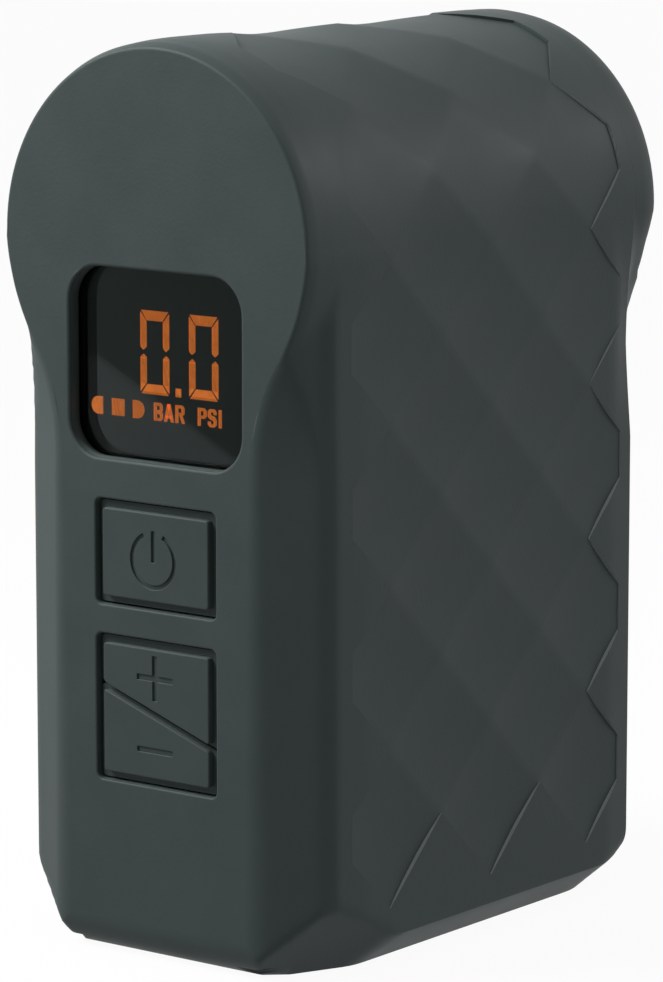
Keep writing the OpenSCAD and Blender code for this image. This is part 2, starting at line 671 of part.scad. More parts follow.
module gear_plate(n, turn, bore_r) {
    tip_r = tooth_m*(n/2 + 0.85);
    root_r = tooth_m*(n/2 - 1.2);
    p = 360/n;
    difference() {
        polygon([for (i = [0:n - 1], q = [[-0.3, root_r], [-0.1, tip_r], [0.1, tip_r], [0.3, root_r]])
            q[1]*[cos(turn + p*(i + q[0])), sin(turn + p*(i + q[0]))]]);
        circle(bore_r);
    }
}
module pinion() {
    along_y(gear_y, gear_y + gear_t) translate([0, motor_z]) gear_plate(pinion_n, 18, shaft_d/2);
}
module gear_frame() {
    px = frame_posts[1][0];
    pz = frame_posts[1][1] - hz;
    outline = [[4 - hr, -42.5], [hr - 4, -42.5], [hr - 4, -35.5], [px + 2.5, -30], [px + 2.5, pz - 3],
        [px + 3.6, pz],
        [px + 1, pz + 3.6]];
    difference() {
        union() {
            along_y(plate_y, motor_y) translate([0, hz])
                polygon(concat(outline, [for (i = [6:-1:2]) [-outline[i][0], outline[i][1]]]));
            translate([-head_w/2, crank_y - head_w/2, cyl_top - 5])
                cube([head_w, plate_y + 0.5 - crank_y + head_w/2, 5]);
        }
        translate([0, crank_y, cyl_top - 6]) cylinder(h = 7, r = cyl_od/2 + 0.02);
        rod_y(0, motor_z, plate_y - 1, motor_y + 1, 5.02);
        rod_y(0, hz, plate_y - 1, motor_y + 1, axle_d/2);
        for (s = [-1, 1]) rod_y(s*9, motor_z, plate_y - 1, motor_y + 1, 1.3);
        for (p = frame_posts) rod_y(p[0], p[1], plate_y - 1, motor_y + 1, 1.3);
    }
}
module frame_screws() { for (p = frame_posts) screw_y(p[0], p[1], plate_y - 7, motor_y, 1.1, 2.2, 1.4, 1); }
module drive_gear() {
    difference() {
        union() {
            along_y(gear_y, gear_y + gear_t) translate([0, hz]) gear_plate(gear_n, 0, axle_d/2 + axle_fit);
            rod_y(0, hz, gear_y - 1, gear_y + 0.5, 4);
        }
        rod_y(0, hz, gear_y - 2, gear_y + gear_t + 1, axle_d/2 + axle_fit);
        rod_y(0, hz + crank_r, gear_y - 2, gear_y + gear_t + 1, pin_d/2);
    }
}
module gear_axle() { rod_y(0, hz, gear_y - 2.4, motor_y, axle_d/2); }
module axle_clip() {
    difference() {
        rod_y(0, hz, gear_y - 1.9, gear_y - 1.3, 3);
        rod_y(0, hz, gear_y - 3, gear_y, axle_d/2);
    }
}
module crank_pin() { rod_y(0, hz + crank_r, crank_y + 2.3, gear_y + gear_t, pin_d/2); }
module wobble_piston() {
    difference() {
        union() {
            rod_y(0, eye_z, crank_y - 2, crank_y + 2, pin_d/2 + 3);
            plate_xz(-2.2, 2.2, crank_y - 1.6, crank_y + 1.6, crown_z + 4, eye_z - 2.8);
            translate([0, crank_y, crown_z]) cylinder(h = 5, r = bore_d/2 - piston_fit);
        }
        rod_y(0, eye_z, crank_y - 3, crank_y + 3, pin_d/2 + 1);
        translate([0, crank_y, crown_z + 1.5]) difference() {
            cylinder(h = 1.6, r = bore_d/2 + 1);
            translate([0, 0, -1]) cylinder(h = 4, r = bore_d/2 - 1.6);
        }
    }
}
module rod_bush() {
    difference() {
        rod_y(0, eye_z, crank_y - 2, crank_y + 2, pin_d/2 + 1);
        rod_y(0, eye_z, crank_y - 3, crank_y + 3, pin_d/2 + 0.02);
    }
}
module piston_seal() {
    translate([0, crank_y, crown_z + 1.5]) difference() {
        cylinder(h = 1.6, r = bore_d/2 - 0.02);
        translate([0, 0, -1]) cylinder(h = 4, r = bore_d/2 - 1.6);
    }
}

// --- pump ---

flange_h = 3;
head_holes = [for (x = [-1, 1], y = [-1, 1]) [x, y]*(head_w/2 - 2.2)];
module pump_cylinder() {
    translate([0, crank_y, 0]) difference() {
        union() {
            translate([0, 0, cyl_bot]) cylinder(h = cyl_top - cyl_bot, r = cyl_od/2);
            translate([-head_w/2, -head_w/2, cyl_bot]) cube([head_w, head_w, flange_h]);
        }
        translate([0, 0, cyl_bot - 1]) cylinder(h = cyl_top - cyl_bot + 2, r = bore_d/2);
        for (p = head_holes) translate([p[0], p[1], cyl_bot - 1]) cylinder(h = flange_h + 2, r = 0.9);
    }
}
module head_gasket() {
    translate([0, crank_y, cyl_bot - 0.4]) difference() {
        translate([-head_w/2, -head_w/2, 0]) cube([head_w, head_w, 0.4]);
        translate([0, 0, -1]) cylinder(h = 3, r = bore_d/2 - 0.8);
        for (p = head_holes) translate([p[0], p[1], -1]) cylinder(h = 3, r = 1);
    }
}
module reed_valve() { translate([0, crank_y, cyl_bot - 1]) cylinder(h = 0.2, r = 5.6); }
module cylinder_head() {
    top = cyl_bot - 0.4;
    difference() {
        union() {
            translate([-head_w/2, crank_y - head_w/2, head_z0]) cube([head_w, head_w, top - head_z0]);
            rod_y(0, port_z, crank_y + head_w/2 - 1, crank_y + head_w/2 + 4, tube_d/2 - 0.8);
            translate([head_w/2 - 4, crank_y - head_w/2 - 1.8, port_z - 2])
                cube([sensor_x + 6 - head_w/2, 3.8, 4]);
            translate([sensor_x, nipple_y, port_z - 4.4]) cylinder(h = 4, r = 0.8);
        }
        translate([0, crank_y, top - 0.6]) cylinder(h = 1, r = 6);
        translate([0, crank_y, port_z]) cylinder(h = 10, r = 1);
        rod_y(0, port_z, crank_y, crank_y + head_w, 0.9);
        for (p = head_holes) translate([p[0], crank_y + p[1], head_z0 - 1]) cylinder(h = 12, r = 1);
    }
}
module head_screws() {
    for (p = head_holes) translate([p[0], crank_y + p[1], head_z0]) {
        cylinder(h = 11.4, r = 0.9);
        translate([0, 0, -1.2]) cylinder(h = 1.2, r = 1.7);
    }
}
bend_r = 8;
tube_top = outlet_z - outlet_od/2 - 2.3;
module tube_form(r, extra) {
    rod_y(0, port_z, crank_y + head_w/2 + 0.2 - extra, tube_y - bend_r, r);
    translate([0, tube_y, port_z + bend_r]) cylinder(h = tube_top - port_z - bend_r + extra, r = r);
    translate([0, tube_y - bend_r, port_z + bend_r]) rotate([0, 90, 0]) rotate_extrude(angle = 90)
        translate([bend_r, 0]) circle(r);
}
module delivery_tube() {
    difference() {
        tube_form(tube_d/2, 0);
        tube_form(tube_d/2 - 0.8, 1);
    }
}
module air_outlet() {
    difference() {
        union() {
            rod_y(0, outlet_z, tube_y - 3, yr, outlet_od/2);
            rod_y(0, outlet_z, yr - wall - 2.6, yr - wall - 1, outlet_od/2 + 2);
            translate([0, tube_y, tube_top - 4]) cylinder(h = 8, r = tube_d/2 - 0.8);
        }
        rod_y(0, outlet_z, yr - outlet_l, yr + 1, outlet_d/2);
        rod_y(0, outlet_z, tube_y - 1, yr - 1, 1.2);
        translate([0, tube_y, tube_top - 5]) cylinder(h = outlet_z - tube_top + 5, r = 0.8);
    }
}
module outlet_seal() {
    along_y(yr - wall - 1, yr - wall) translate([0, outlet_z]) difference() {
        circle(outlet_od/2 + 2);
        circle(outlet_od/2 + 0.05);
    }
}

// --- assembly ---

color("#3c4442") housing();
color("#3a4240") rear_cover();
color("#50555a") cover_screws();
color("#161818") display_bezel();
color("#1c2020", 0.6) display_window();
color("#101212") display_module();
color("#f08030") display_segments();
color("#b08030") display_ribbon();
color("#3c4442") power_key();
color("#202222") power_plunger();
color("#3c4442") plus_key();
color("#202222") plus_plunger();
color("#3c4442") minus_key();
color("#202222") minus_plunger();
color("#303030") key_switches();
color("#1f5a34") control_board();
color("#909498") board_screws();
color("#d0d0c8") pressure_sensor();
color("#c8c8c0") sensor_hose();
color("#2c64a8") battery_cell_left();
color("#2c64a8") battery_cell_right();
color("#262828") battery_tray();
color("#c8c8c4") cell_tabs();
color("#a02020") battery_leads();
color("#1f5a34") charge_board();
color("#909498") charge_screws();
color("#b8bcc0") charge_socket();
color("#a0a4a8") motor_case();
color("#282828") motor_end_cap();
color("#909498") motor_screws();
color("#a02020") motor_leads();
color("#b0b4b8") motor_shaft();
color("#c8a048") pinion();
color("#8c9094") gear_frame();
color("#909498") frame_screws();
color("#e0dcd0") drive_gear();
color("#b0b4b8") gear_axle();
color("#707478") axle_clip();
color("#b0b4b8") crank_pin();
color("#b8bcc0") wobble_piston();
color("#c8a048") rod_bush();
color("#202020") piston_seal();
color("#b0b4b6") pump_cylinder();
color("#303030") head_gasket();
color("#b8bcc0") reed_valve();
color("#9aa0a4") cylinder_head();
color("#909498") head_screws();
color("#c8c8c0") delivery_tube();
color("#c8a048") air_outlet();
color("#202020") outlet_seal();
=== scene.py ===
import json
import math

import bpy
import bmesh
import numpy as np
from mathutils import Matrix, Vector
from mathutils.geometry import delaunay_2d_cdt


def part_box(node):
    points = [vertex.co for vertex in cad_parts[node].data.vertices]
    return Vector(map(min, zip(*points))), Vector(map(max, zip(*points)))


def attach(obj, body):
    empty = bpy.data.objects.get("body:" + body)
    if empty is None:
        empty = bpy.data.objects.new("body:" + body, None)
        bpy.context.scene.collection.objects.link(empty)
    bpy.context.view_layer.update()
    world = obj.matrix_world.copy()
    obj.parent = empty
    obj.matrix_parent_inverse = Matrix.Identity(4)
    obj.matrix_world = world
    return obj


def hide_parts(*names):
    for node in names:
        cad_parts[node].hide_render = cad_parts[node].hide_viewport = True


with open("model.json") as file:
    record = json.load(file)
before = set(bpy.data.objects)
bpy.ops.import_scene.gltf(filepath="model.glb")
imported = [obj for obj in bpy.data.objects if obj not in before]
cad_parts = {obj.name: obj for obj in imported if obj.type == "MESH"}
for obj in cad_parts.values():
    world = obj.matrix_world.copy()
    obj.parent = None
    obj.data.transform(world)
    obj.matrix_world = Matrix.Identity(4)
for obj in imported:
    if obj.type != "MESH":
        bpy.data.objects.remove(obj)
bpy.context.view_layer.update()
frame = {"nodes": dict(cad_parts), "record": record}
nodes = frame["nodes"]
print("frame loaded:", len(nodes), "nodes")

mm = 0.001

# everything below is worked out in millimetres from these boxes
caseLow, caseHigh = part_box("housing")
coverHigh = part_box("rear_cover")[1]
halfWide = caseHigh.x / mm
yFront = caseLow.y / mm
yRear = coverHigh.y / mm
headZ = caseHigh.z / mm - halfWide
yPart = caseHigh.y / mm


def smoothMax(a, b, soft):
    # half the sum plus half the rounded distance between the two
    return 0.5 * (a + b + np.sqrt((a - b) ** 2 + soft * soft) - soft)


def smoothMin(a, b, soft):
    # the rounded larger one of the negatives, turned back
    return -smoothMax(-a, -b, soft)


def weld(points, faces, step=1e-4):
    # points that round to the same place become one, and faces that fold shut are dropped
    keys = np.round(points / step).astype(np.int64)
    _, first, back = np.unique(keys, axis=0, return_index=True, return_inverse=True)
    back = back.ravel()
    faces = [back[f] for f in faces]
    out = []
    for block in faces:
        if block.shape[1] == 3:
            keep = (block[:, 0] != block[:, 1]) & (block[:, 1] != block[:, 2]) & (block[:, 0] != block[:, 2])
            out.append(block[keep])
        else:
            same = [block[:, i] == block[:, (i + 1) % 4] for i in range(4)]
            bad = np.sum(same, axis=0)
            out.append(block[bad == 0])
            for i in range(4):
                hit = (bad == 1) & same[i]
                out.append(block[hit][:, [k for k in range(4) if k != i]])
    return points[first], out


def faceData(mesh):
    # centre, direction and area of every face, as arrays
    count = len(mesh.polygons)
    center, normal, area = np.zeros(count * 3), np.zeros(count * 3), np.zeros(count)
    mesh.polygons.foreach_get("center", center)
    mesh.polygons.foreach_get("normal", normal)
    mesh.polygons.foreach_get("area", area)
    return center.reshape(-1, 3), normal.reshape(-1, 3), area


def meshPiece(name, points, faces, material, body, node, sharp):
    # points in millimetres; faces is a list of arrays of corner numbers; sharp in degrees
    points, faces = weld(points, faces)
    flat = [tuple(f) for block in faces for f in block.tolist()]
    mesh = bpy.data.meshes.new(name)
    mesh.from_pydata((points * mm).tolist(), [], flat)
    mesh.validate()
    mesh.update()
    bm = bmesh.new()
    bm.from_mesh(mesh)
    bmesh.ops.recalc_face_normals(bm, faces=bm.faces)
    bm.to_mesh(mesh)
    bm.free()
    center, normal, area = faceData(mesh)
    middle = (points.max(0) + points.min(0)) / 2 * mm
    if np.sum(((center - middle) * normal).sum(1) * area) < 0:
        mesh.flip_normals()
    mesh.set_sharp_from_angle(angle=math.radians(sharp))
    mesh.polygons.foreach_set("use_smooth", np.abs(normal[:, 1]) < 0.99999)  # the flat faces stay flat
    piece = bpy.data.objects.new(name, mesh)
    bpy.context.scene.collection.objects.link(piece)
    mesh.materials.append(material)
    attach(piece, body)
    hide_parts(node)
    return piece


def gridFaces(rows, cols, flip=False):
    # corner numbers of the quads of a grid of points: row number times columns plus column number
    r = np.arange(rows - 1)
    c = np.arange(cols - 1)
    a = (r[:, None] * cols + c[None, :]).ravel()
    b = a + cols
    quads = np.stack([a, a + 1, b + 1, b], 1)
    return quads[:, ::-1] if flip else quads


class Pile:
    # gathers grids of points and their faces into one piece
    def __init__(self):
        self.points = []
        self.faces = []
        self.count = 0

    def add(self, points, faces):
        # corner numbers are raised by the number of points that are there already
        points = np.asarray(points, float).reshape(-1, 3)
        self.points.append(points)
        self.faces += [np.asarray(f, int) + self.count for f in faces]
        self.count += len(points)

    def grid(self, points, flip=False):
        # quads between neighbouring rows and columns
        rows, cols = points.shape[:2]
        self.add(points, [gridFaces(rows, cols, flip)])

    def all(self):
        # the grids' points one after another
        return np.concatenate(self.points), self.faces


def roundedLoop(wide, high, radius, center=(0, 0), arc=12):
    # counter-clockwise: each corner is an arc of the given radius about its own centre
    t = np.linspace(0, math.pi / 2, arc)
    pts = []
    for k, (sx, sz) in enumerate([(1, -1), (1, 1), (-1, 1), (-1, -1)]):
        a = t + (k - 1) * math.pi / 2
        pts.append(np.stack([sx * (wide / 2 - radius) + radius * np.cos(a),
                             sz * (high / 2 - radius) + radius * np.sin(a)], 1))
    return np.concatenate(pts) + np.array(center)


def cleanLoop(loop, least=1e-3):
    # drops points that lie on the one before
    gap = np.linalg.norm(loop - np.roll(loop, 1, 0), axis=1)
    return loop[gap > least]


def grown(loop, amount):
    # each point moves out along the bisector of its two edges, far enough to keep the edges parallel
    before = loop - np.roll(loop, 1, 0)
    after = np.roll(loop, -1, 0) - loop
    n1 = np.stack([before[:, 1], -before[:, 0]], 1)
    n2 = np.stack([after[:, 1], -after[:, 0]], 1)
    n1 /= np.linalg.norm(n1, axis=1, keepdims=True)
    n2 /= np.linalg.norm(n2, axis=1, keepdims=True)
    return loop + amount * (n1 + n2) / (1 + np.sum(n1 * n2, axis=1, keepdims=True))


def insideLoop(p, loop):
    # counts how often a ray along +X crosses the outline
    a = loop
    b = np.roll(loop, -1, 0)
    pz, px = p[:, 1][:, None], p[:, 0][:, None]
    spans = (a[:, 1] > pz) != (b[:, 1] > pz)
    dz = np.where(b[:, 1] == a[:, 1], 1, b[:, 1] - a[:, 1])
    cross = a[:, 0] + (pz - a[:, 1]) / dz * (b[:, 0] - a[:, 0])
    return np.sum(spans & (px < cross), axis=1) % 2 == 1


def flatFace(pile, outer, holes, y):
    # plane at depth y between an outline and its holes
    loops = [outer] + holes
    pts, edges, at = [], [], 0
    for loop in loops:
        n = len(loop)
        i = np.arange(n)
        edges += np.stack([i + at, (i + 1) % n + at], 1).tolist()
        pts.append(loop)
        at += n
    pts = np.concatenate(pts)
    got = delaunay_2d_cdt([Vector(p) for p in pts.tolist()], edges, [], 0, 1e-6, False)
    verts = np.array([tuple(v) for v in got[0]])
    tris = np.array([f for f in got[2] if len(f) == 3])
    mid = verts[tris].mean(1)
    keep = insideLoop(mid, outer)
    for hole in holes:
        keep &= ~insideLoop(mid, hole)
    tris = tris[keep]
    p = verts[tris]
    turn = np.cross(p[:, 1] - p[:, 0], p[:, 2] - p[:, 0])
    tris[turn < 0] = tris[turn < 0][:, ::-1]
    pile.add(np.stack([verts[:, 0], np.full(len(verts), y), verts[:, 1]], 1), [tris])


def roundCorners(corners, cut, steps=6):
    # each corner becomes a quadratic curve that starts and ends at a distance cut along its edges
    c = np.array(corners, float)
    before, after = np.roll(c, 1, 0) - c, np.roll(c, -1, 0) - c
    p0 = c + cut * before / np.linalg.norm(before, axis=1, keepdims=True)
    p2 = c + cut * after / np.linalg.norm(after, axis=1, keepdims=True)
    t = np.linspace(0, 1, steps)[None, :, None]
    pts = (1 - t) ** 2 * p0[:, None] + 2 * t * (1 - t) * c[:, None] + t * t * p2[:, None]
    return pts.reshape(-1, 2)


def lipRows(loop, y, fillet, depth, inward=1, steps=5):
    # rounded edge of a hole and its wall: quarter circle of radius fillet, then straight back
    t = np.linspace(0, math.pi / 2, steps)
    out = fillet * (1 - np.sin(t))
    back = fillet * (1 - np.cos(t))
    out = np.append(out, [0, 0])
    back = np.append(back, [fillet + (depth - fillet) * 0.5, depth])
    rows = [np.stack([g[:, 0], np.full(len(g), y + inward * b), g[:, 1]], 1)
            for g, b in ((grown(loop, o) if o > 1e-6 else loop, b) for o, b in zip(out, back))]
    return np.stack(rows)


def lip(pile, loop, y, fillet, depth, floor=False, inward=1):
    # the rows of the edge closed to a ring, with a floor where the hole isn't open; gives back the rim
    rows = lipRows(loop, y, fillet, depth, inward)
    around = np.concatenate([rows, rows[:, :1]], 1)
    pile.grid(around, flip=True)
    if floor:
        flatFace(pile, loop, [], y + inward * depth)
    return rows[0][:, [0, 2]]


def linear(rgb):
    # display colour to linear colour: a straight part near black, then the power 2.4
    c = np.asarray(rgb, float) / 255
    return tuple(np.where(c <= 0.04045, c / 12.92, ((c + 0.055) / 1.055) ** 2.4)) + (1.0,)


# colour and other are the two ends of a broad noise, cloud and grain its scale and that of the bump
finishes = {
    "case_plastic": dict(color=(53, 63, 62), other=(57, 67, 66), rough=(0.50, 0.58),
                        cloud=90, grain=1900, bump=0.5, spec=0.2),
    "cover_plastic": dict(color=(52, 62, 61), other=(56, 66, 65), rough=(0.51, 0.59),
                         cloud=90, grain=1900, bump=0.5, spec=0.2),
    # this finish is painted light: a pale colour that stands in for the highlight on the steps round the relief
    "case_step_painted_light": dict(color=(166, 172, 170), other=(174, 180, 178), rough=(0.4, 0.5),
                     cloud=90, grain=2600, bump=0.10, spec=0.2),
    # this finish is painted light: a lighter colour that makes the shaded walls of the window recess and key
    # openings look lit
    "recess_wall_painted_light": dict(color=(74, 84, 82), other=(80, 90, 88), rough=(0.4, 0.5),
                       cloud=90, grain=2600, bump=0.10, spec=0.2),
    "key_plastic": dict(color=(52, 62, 61), other=(56, 66, 65), rough=(0.50, 0.58),
                       cloud=120, grain=2600, bump=0.2, spec=0.2),
    "black_plastic": dict(color=(34, 39, 38), other=(38, 43, 42), rough=(0.5, 0.6),
                         cloud=200, grain=1800, bump=0.02, spec=0.08),
    "ribbon_film": dict(color=(170, 100, 30), other=(186, 118, 40), rough=(0.25, 0.35),
                       cloud=300, grain=900, bump=0.03),
    "board": dict(color=(14, 92, 50), other=(20, 108, 58), rough=(0.3, 0.42),
                 cloud=400, grain=1500, bump=0.05),
    "screw_steel": dict(color=(160, 162, 165), other=(178, 180, 184), rough=(0.28, 0.42),
                       cloud=700, grain=2500, bump=0.06, metal=1),
    "steel": dict(color=(170, 172, 175), other=(190, 192, 195), rough=(0.18, 0.3),
                 cloud=600, grain=3000, bump=0.04, metal=1),
    "sensor_body": dict(color=(214, 212, 202), other=(224, 222, 214), rough=(0.4, 0.5),
                       cloud=500, grain=1500, bump=0.05),
    "tube": dict(color=(190, 190, 184), other=(204, 204, 198), rough=(0.35, 0.45),
                cloud=200, grain=900, bump=0.05),
    "cell_wrap": dict(color=(30, 92, 166), other=(36, 100, 176), rough=(0.25, 0.35),
                     cloud=150, grain=700, bump=0.03),
    "nickel": dict(color=(186, 184, 176), other=(200, 198, 190), rough=(0.25, 0.4),
                  cloud=500, grain=2500, bump=0.06, metal=1),
    "lead_wire": dict(color=(176, 24, 22), other=(190, 32, 28), rough=(0.3, 0.42),
                     cloud=300, grain=1200, bump=0.04),
    "socket_shell": dict(color=(176, 178, 182), other=(192, 194, 198), rough=(0.22, 0.34),
                        cloud=600, grain=2500, bump=0.05, metal=1),
    "motor_steel": dict(color=(150, 152, 156), other=(168, 170, 173), rough=(0.3, 0.44),
                       cloud=200, grain=1800, bump=0.06, metal=1),
    "brass": dict(color=(196, 164, 92), other=(208, 178, 108), rough=(0.22, 0.36),
                 cloud=400, grain=2500, bump=0.05, metal=1),
    "die_cast": dict(color=(158, 160, 163), other=(174, 176, 180), rough=(0.42, 0.56),
                    cloud=250, grain=1200, bump=0.16, metal=1),
    "gear_nylon": dict(color=(226, 222, 206), other=(234, 231, 218), rough=(0.38, 0.48),
                      cloud=200, grain=1200, bump=0.05),
    "pump_alloy": dict(color=(188, 190, 192), other=(204, 206, 208), rough=(0.28, 0.4),
                      cloud=300, grain=2200, bump=0.06, metal=1),
    "bronze": dict(color=(170, 128, 74), other=(184, 142, 86), rough=(0.35, 0.5),
                  cloud=500, grain=2500, bump=0.12, metal=1),
    "seal_rubber": dict(color=(20, 20, 20), other=(26, 26, 26), rough=(0.6, 0.75),
                       cloud=400, grain=1500, bump=0.1),
    "spring_steel": dict(color=(164, 167, 172), other=(182, 185, 190), rough=(0.2, 0.34),
                        cloud=500, grain=2500, bump=0.04, metal=1),
}


def addNode(tree, kind, **values):
    # a value goes to the node's own setting of that name, or else to its input
    node = tree.nodes.new(kind)
    for key, value in values.items():
        if hasattr(node, key):
            setattr(node, key, value)
        else:
            node.inputs[key.replace("_", " ")].default_value = value
    return node


def makeFinish(name, color, other, rough, cloud, grain, bump, spec=0.5, metal=0):
    # two close colours over a broad noise, roughness over the same noise, fine grain as bump
    mat = bpy.data.materials.new(name)
    mat.use_nodes = True
    tree = mat.node_tree
    shader = tree.nodes["Principled BSDF"]
    shader.inputs["Metallic"].default_value = metal
    shader.inputs["Specular IOR Level"].default_value = spec
    coords = addNode(tree, "ShaderNodeTexCoord")
    broad = addNode(tree, "ShaderNodeTexNoise", Scale=cloud, Detail=4.0, Roughness=0.6)
    fine = addNode(tree, "ShaderNodeTexNoise", Scale=grain, Detail=2.0, Roughness=0.6)
    ramp = addNode(tree, "ShaderNodeValToRGB")
    ramp.color_ramp.elements[0].position = 0.35
    ramp.color_ramp.elements[1].position = 0.65
    ramp.color_ramp.elements[0].color = linear(color)
    ramp.color_ramp.elements[1].color = linear(other)
    span = addNode(tree, "ShaderNodeMapRange", From_Min=0.3, From_Max=0.7, To_Min=rough[0], To_Max=rough[1])
    relief = addNode(tree, "ShaderNodeBump", Strength=bump, Distance=0.00005)
    link = tree.links.new
    link(coords.outputs["Object"], broad.inputs["Vector"])
    link(coords.outputs["Object"], fine.inputs["Vector"])
    link(broad.outputs["Fac"], ramp.inputs["Fac"])
    link(ramp.outputs["Color"], shader.inputs["Base Color"])
    link(broad.outputs["Fac"], span.inputs["Value"])
    link(span.outputs["Result"], shader.inputs["Roughness"])
    link(fine.outputs["Fac"], relief.inputs["Height"])
    link(relief.outputs["Normal"], shader.inputs["Normal"])
    return mat


materials = {name: makeFinish(name, **values) for name, values in finishes.items()}


def makeGlass(name):
    # smoked sheet: a dark see-through body under a clear reflecting face
    mat = bpy.data.materials.new(name)
    mat.use_nodes = True
    tree = mat.node_tree
    tree.nodes.remove(tree.nodes["Principled BSDF"])
    out = tree.nodes["Material Output"]
    coords = addNode(tree, "ShaderNodeTexCoord")
    haze = addNode(tree, "ShaderNodeTexNoise", Scale=400.0, Detail=3.0)
    span = addNode(tree, "ShaderNodeMapRange", From_Min=0.3, From_Max=0.7, To_Min=0.015, To_Max=0.025)
    clear = addNode(tree, "ShaderNodeBsdfTransparent", Color=(0.78, 0.80, 0.80, 1))
    gloss = addNode(tree, "ShaderNodeBsdfGlossy", Color=(0.235, 0.26, 0.255, 1))
    edge = addNode(tree, "ShaderNodeFresnel", IOR=1.45)
    mix = addNode(tree, "ShaderNodeMixShader")
    link = tree.links.new
    link(coords.outputs["Object"], haze.inputs["Vector"])
    link(haze.outputs["Fac"], span.inputs["Value"])
    link(span.outputs["Result"], gloss.inputs["Roughness"])
    link(edge.outputs["Fac"], mix.inputs["Fac"])
    link(clear.outputs["BSDF"], mix.inputs[1])
    link(gloss.outputs["BSDF"], mix.inputs[2])
    link(mix.outputs["Shader"], out.inputs["Surface"])
    return mat


def makeLit(name, dark, bright, strength):
    # lit segment: the glow varies a little along its length
    mat = bpy.data.materials.new(name)
    mat.use_nodes = True
    tree = mat.node_tree
    shader = tree.nodes["Principled BSDF"]
    coords = addNode(tree, "ShaderNodeTexCoord")
    glow = addNode(tree, "ShaderNodeTexNoise", Scale=700.0, Detail=2.0)
    ramp = addNode(tree, "ShaderNodeValToRGB")
    ramp.color_ramp.elements[0].position = 0.3
    ramp.color_ramp.elements[1].position = 0.7
    ramp.color_ramp.elements[0].color = linear(dark)
    ramp.color_ramp.elements[1].color = linear(bright)
    link = tree.links.new
    link(coords.outputs["Object"], glow.inputs["Vector"])
    link(glow.outputs["Fac"], ramp.inputs["Fac"])
    link(ramp.outputs["Color"], shader.inputs["Base Color"])
    link(ramp.outputs["Color"], shader.inputs["Emission Color"])
    shader.inputs["Emission Strength"].default_value = strength
    shader.inputs["Roughness"].default_value = 0.5
    return mat


materials["window"] = makeGlass("window")
materials["lit_segments"] = makeLit("lit_segments", (212, 112, 44), (228, 124, 52), 0.9)

slotOf = {p["node"]: p["material_slot"] for p in frame["record"]["subparts"]}
for nodeName, piece in nodes.items():
    piece.data.materials.clear()
    piece.data.materials.append(materials[slotOf[nodeName]])
print("materials made:", len(materials))


caseForm = dict(
    frontIn=1.0, rearIn=0.5,            # how far the round ends are smaller than the barrel
    faceIn=10.2, edgeIn=2.2, sideIn=0.6,  # chamfer and second facet, in from the side
    edgeBack=4.4, facetBack=1.8, sideBack=12.0,
    webDrop=32.0, footRound=5.0, footIn=5.3, footRise=4.6, cornerRise=10.0,
    cornerBack=15.7, rearCornerBack=11.7, rearCornerRise=6.5,
    cellY=24.3, fieldZ=8.85, clipSteps=7, steps=10,
    dish=0.75, crest=0.46, tip=0.06,
    footFillet=1.9, headFillet=0.45, blend=0.5,
    wall=2.2, skin=1.8, sharp=30,       # depth of the edges of openings, thickness, crease angle
    frontSoft=0.7, rearSoft=1.6, levelBelow=1.5,  # blend of the corner facets, and where it turns level
    rearBlend=1.8,                      # how much softer the head meets the sides at the rear
)


def barrelRadius(y):
    # barrel radius less an inset that is read off between fixed depths
    f = caseForm
    at = [yFront, yFront + 1.5, yFront + 5, yFront + 8, yRear - 8, yRear - 3, yRear - 0.5, yRear]
    r = halfWide - np.array([f["frontIn"], f["frontIn"] * 0.4, 0.1, 0, 0, 0.1, f["rearIn"], f["rearIn"] + 0.4])
    return np.interp(y, at, r)


def planHalf(y):
    # half width of the lower case, in straight pieces: chamfer, second facet, side
    f = caseForm
    d = [f["sideBack"], f["edgeBack"] + f["facetBack"], f["edgeBack"], 0]
    w = [halfWide, halfWide - f["sideIn"], halfWide - f["edgeIn"], halfWide - f["faceIn"]]
    return np.interp(-np.minimum(y - yFront, yRear - y), [-k for k in d], w)


def webHalf(y, z):
    # concave cone that carries the lower face out to the round head: centre less the root of
    # the squared radius minus the squared height, with the radius falling away from the face
    f = caseForm
    face = halfWide - f["faceIn"]
    edge = halfWide - f["edgeIn"]
    ring = halfWide - f["frontIn"]
    drop = f["webDrop"]
    sweep = (drop ** 2 + face ** 2 - ring ** 2) / (2 * (ring - face))
    cx = face + sweep
    back = np.minimum(y - yFront, yRear - y)
    r = sweep - (edge - face) / f["edgeBack"] * back
    up = z - headZ + drop
    cone = cx - np.sqrt(np.maximum(r * r - up * up, 0))
    tipX = cx * ring / math.hypot(cx, drop)
    roof = tipX + 0.1 + (edge - tipX - 0.1) * back / f["edgeBack"]
    tipZ = -drop * ring / math.hypot(cx, drop)
    on = (up >= 0) & (z - headZ <= tipZ + 4) & (back <= f["edgeBack"])
    return np.where(on, np.minimum(cone, roof), 0)


def sideHalf(y, z):
    # half width of the case up to the head axis: the rounded larger one of the barrel's
    # half chord and the lower case, at most the half width
    r = barrelRadius(y)
    up = z - headZ
    arcHalf = np.sqrt(np.maximum(r * r - up * up, 0))
    low = np.maximum(planHalf(y), webHalf(y, z))
    rear = np.clip((y - yPart + 4) / 4, 0, 1)
    soft = (caseForm["blend"] + caseForm["rearBlend"] * rear) * np.clip((z - headZ + 34) / 14, 0, 1)
    soft = soft * np.clip((headZ - z) / 6, 0, 1)
    wide = smoothMax(low, np.minimum(arcHalf, r), soft + 1e-6)
    return np.minimum(wide, halfWide)


def dishDepth(u, w):
    # paraboloid in each diamond: deepest at its centre, nearly flush at its four tips
    f = caseForm
    u0 = np.round(u)
    w0 = np.round(w)
    odd = (u0 + w0) % 2 != 0
    du, dw = np.abs(u - u0), np.abs(w - w0)
    p = np.where(odd & (du >= dw), 1 - du, du)
    q = np.where(odd & (du < dw), 1 - dw, dw)
    a, b = p + q, p - q
    return f["dish"] - (f["dish"] - f["crest"]) * a * a - (f["crest"] - f["tip"]) * b * b


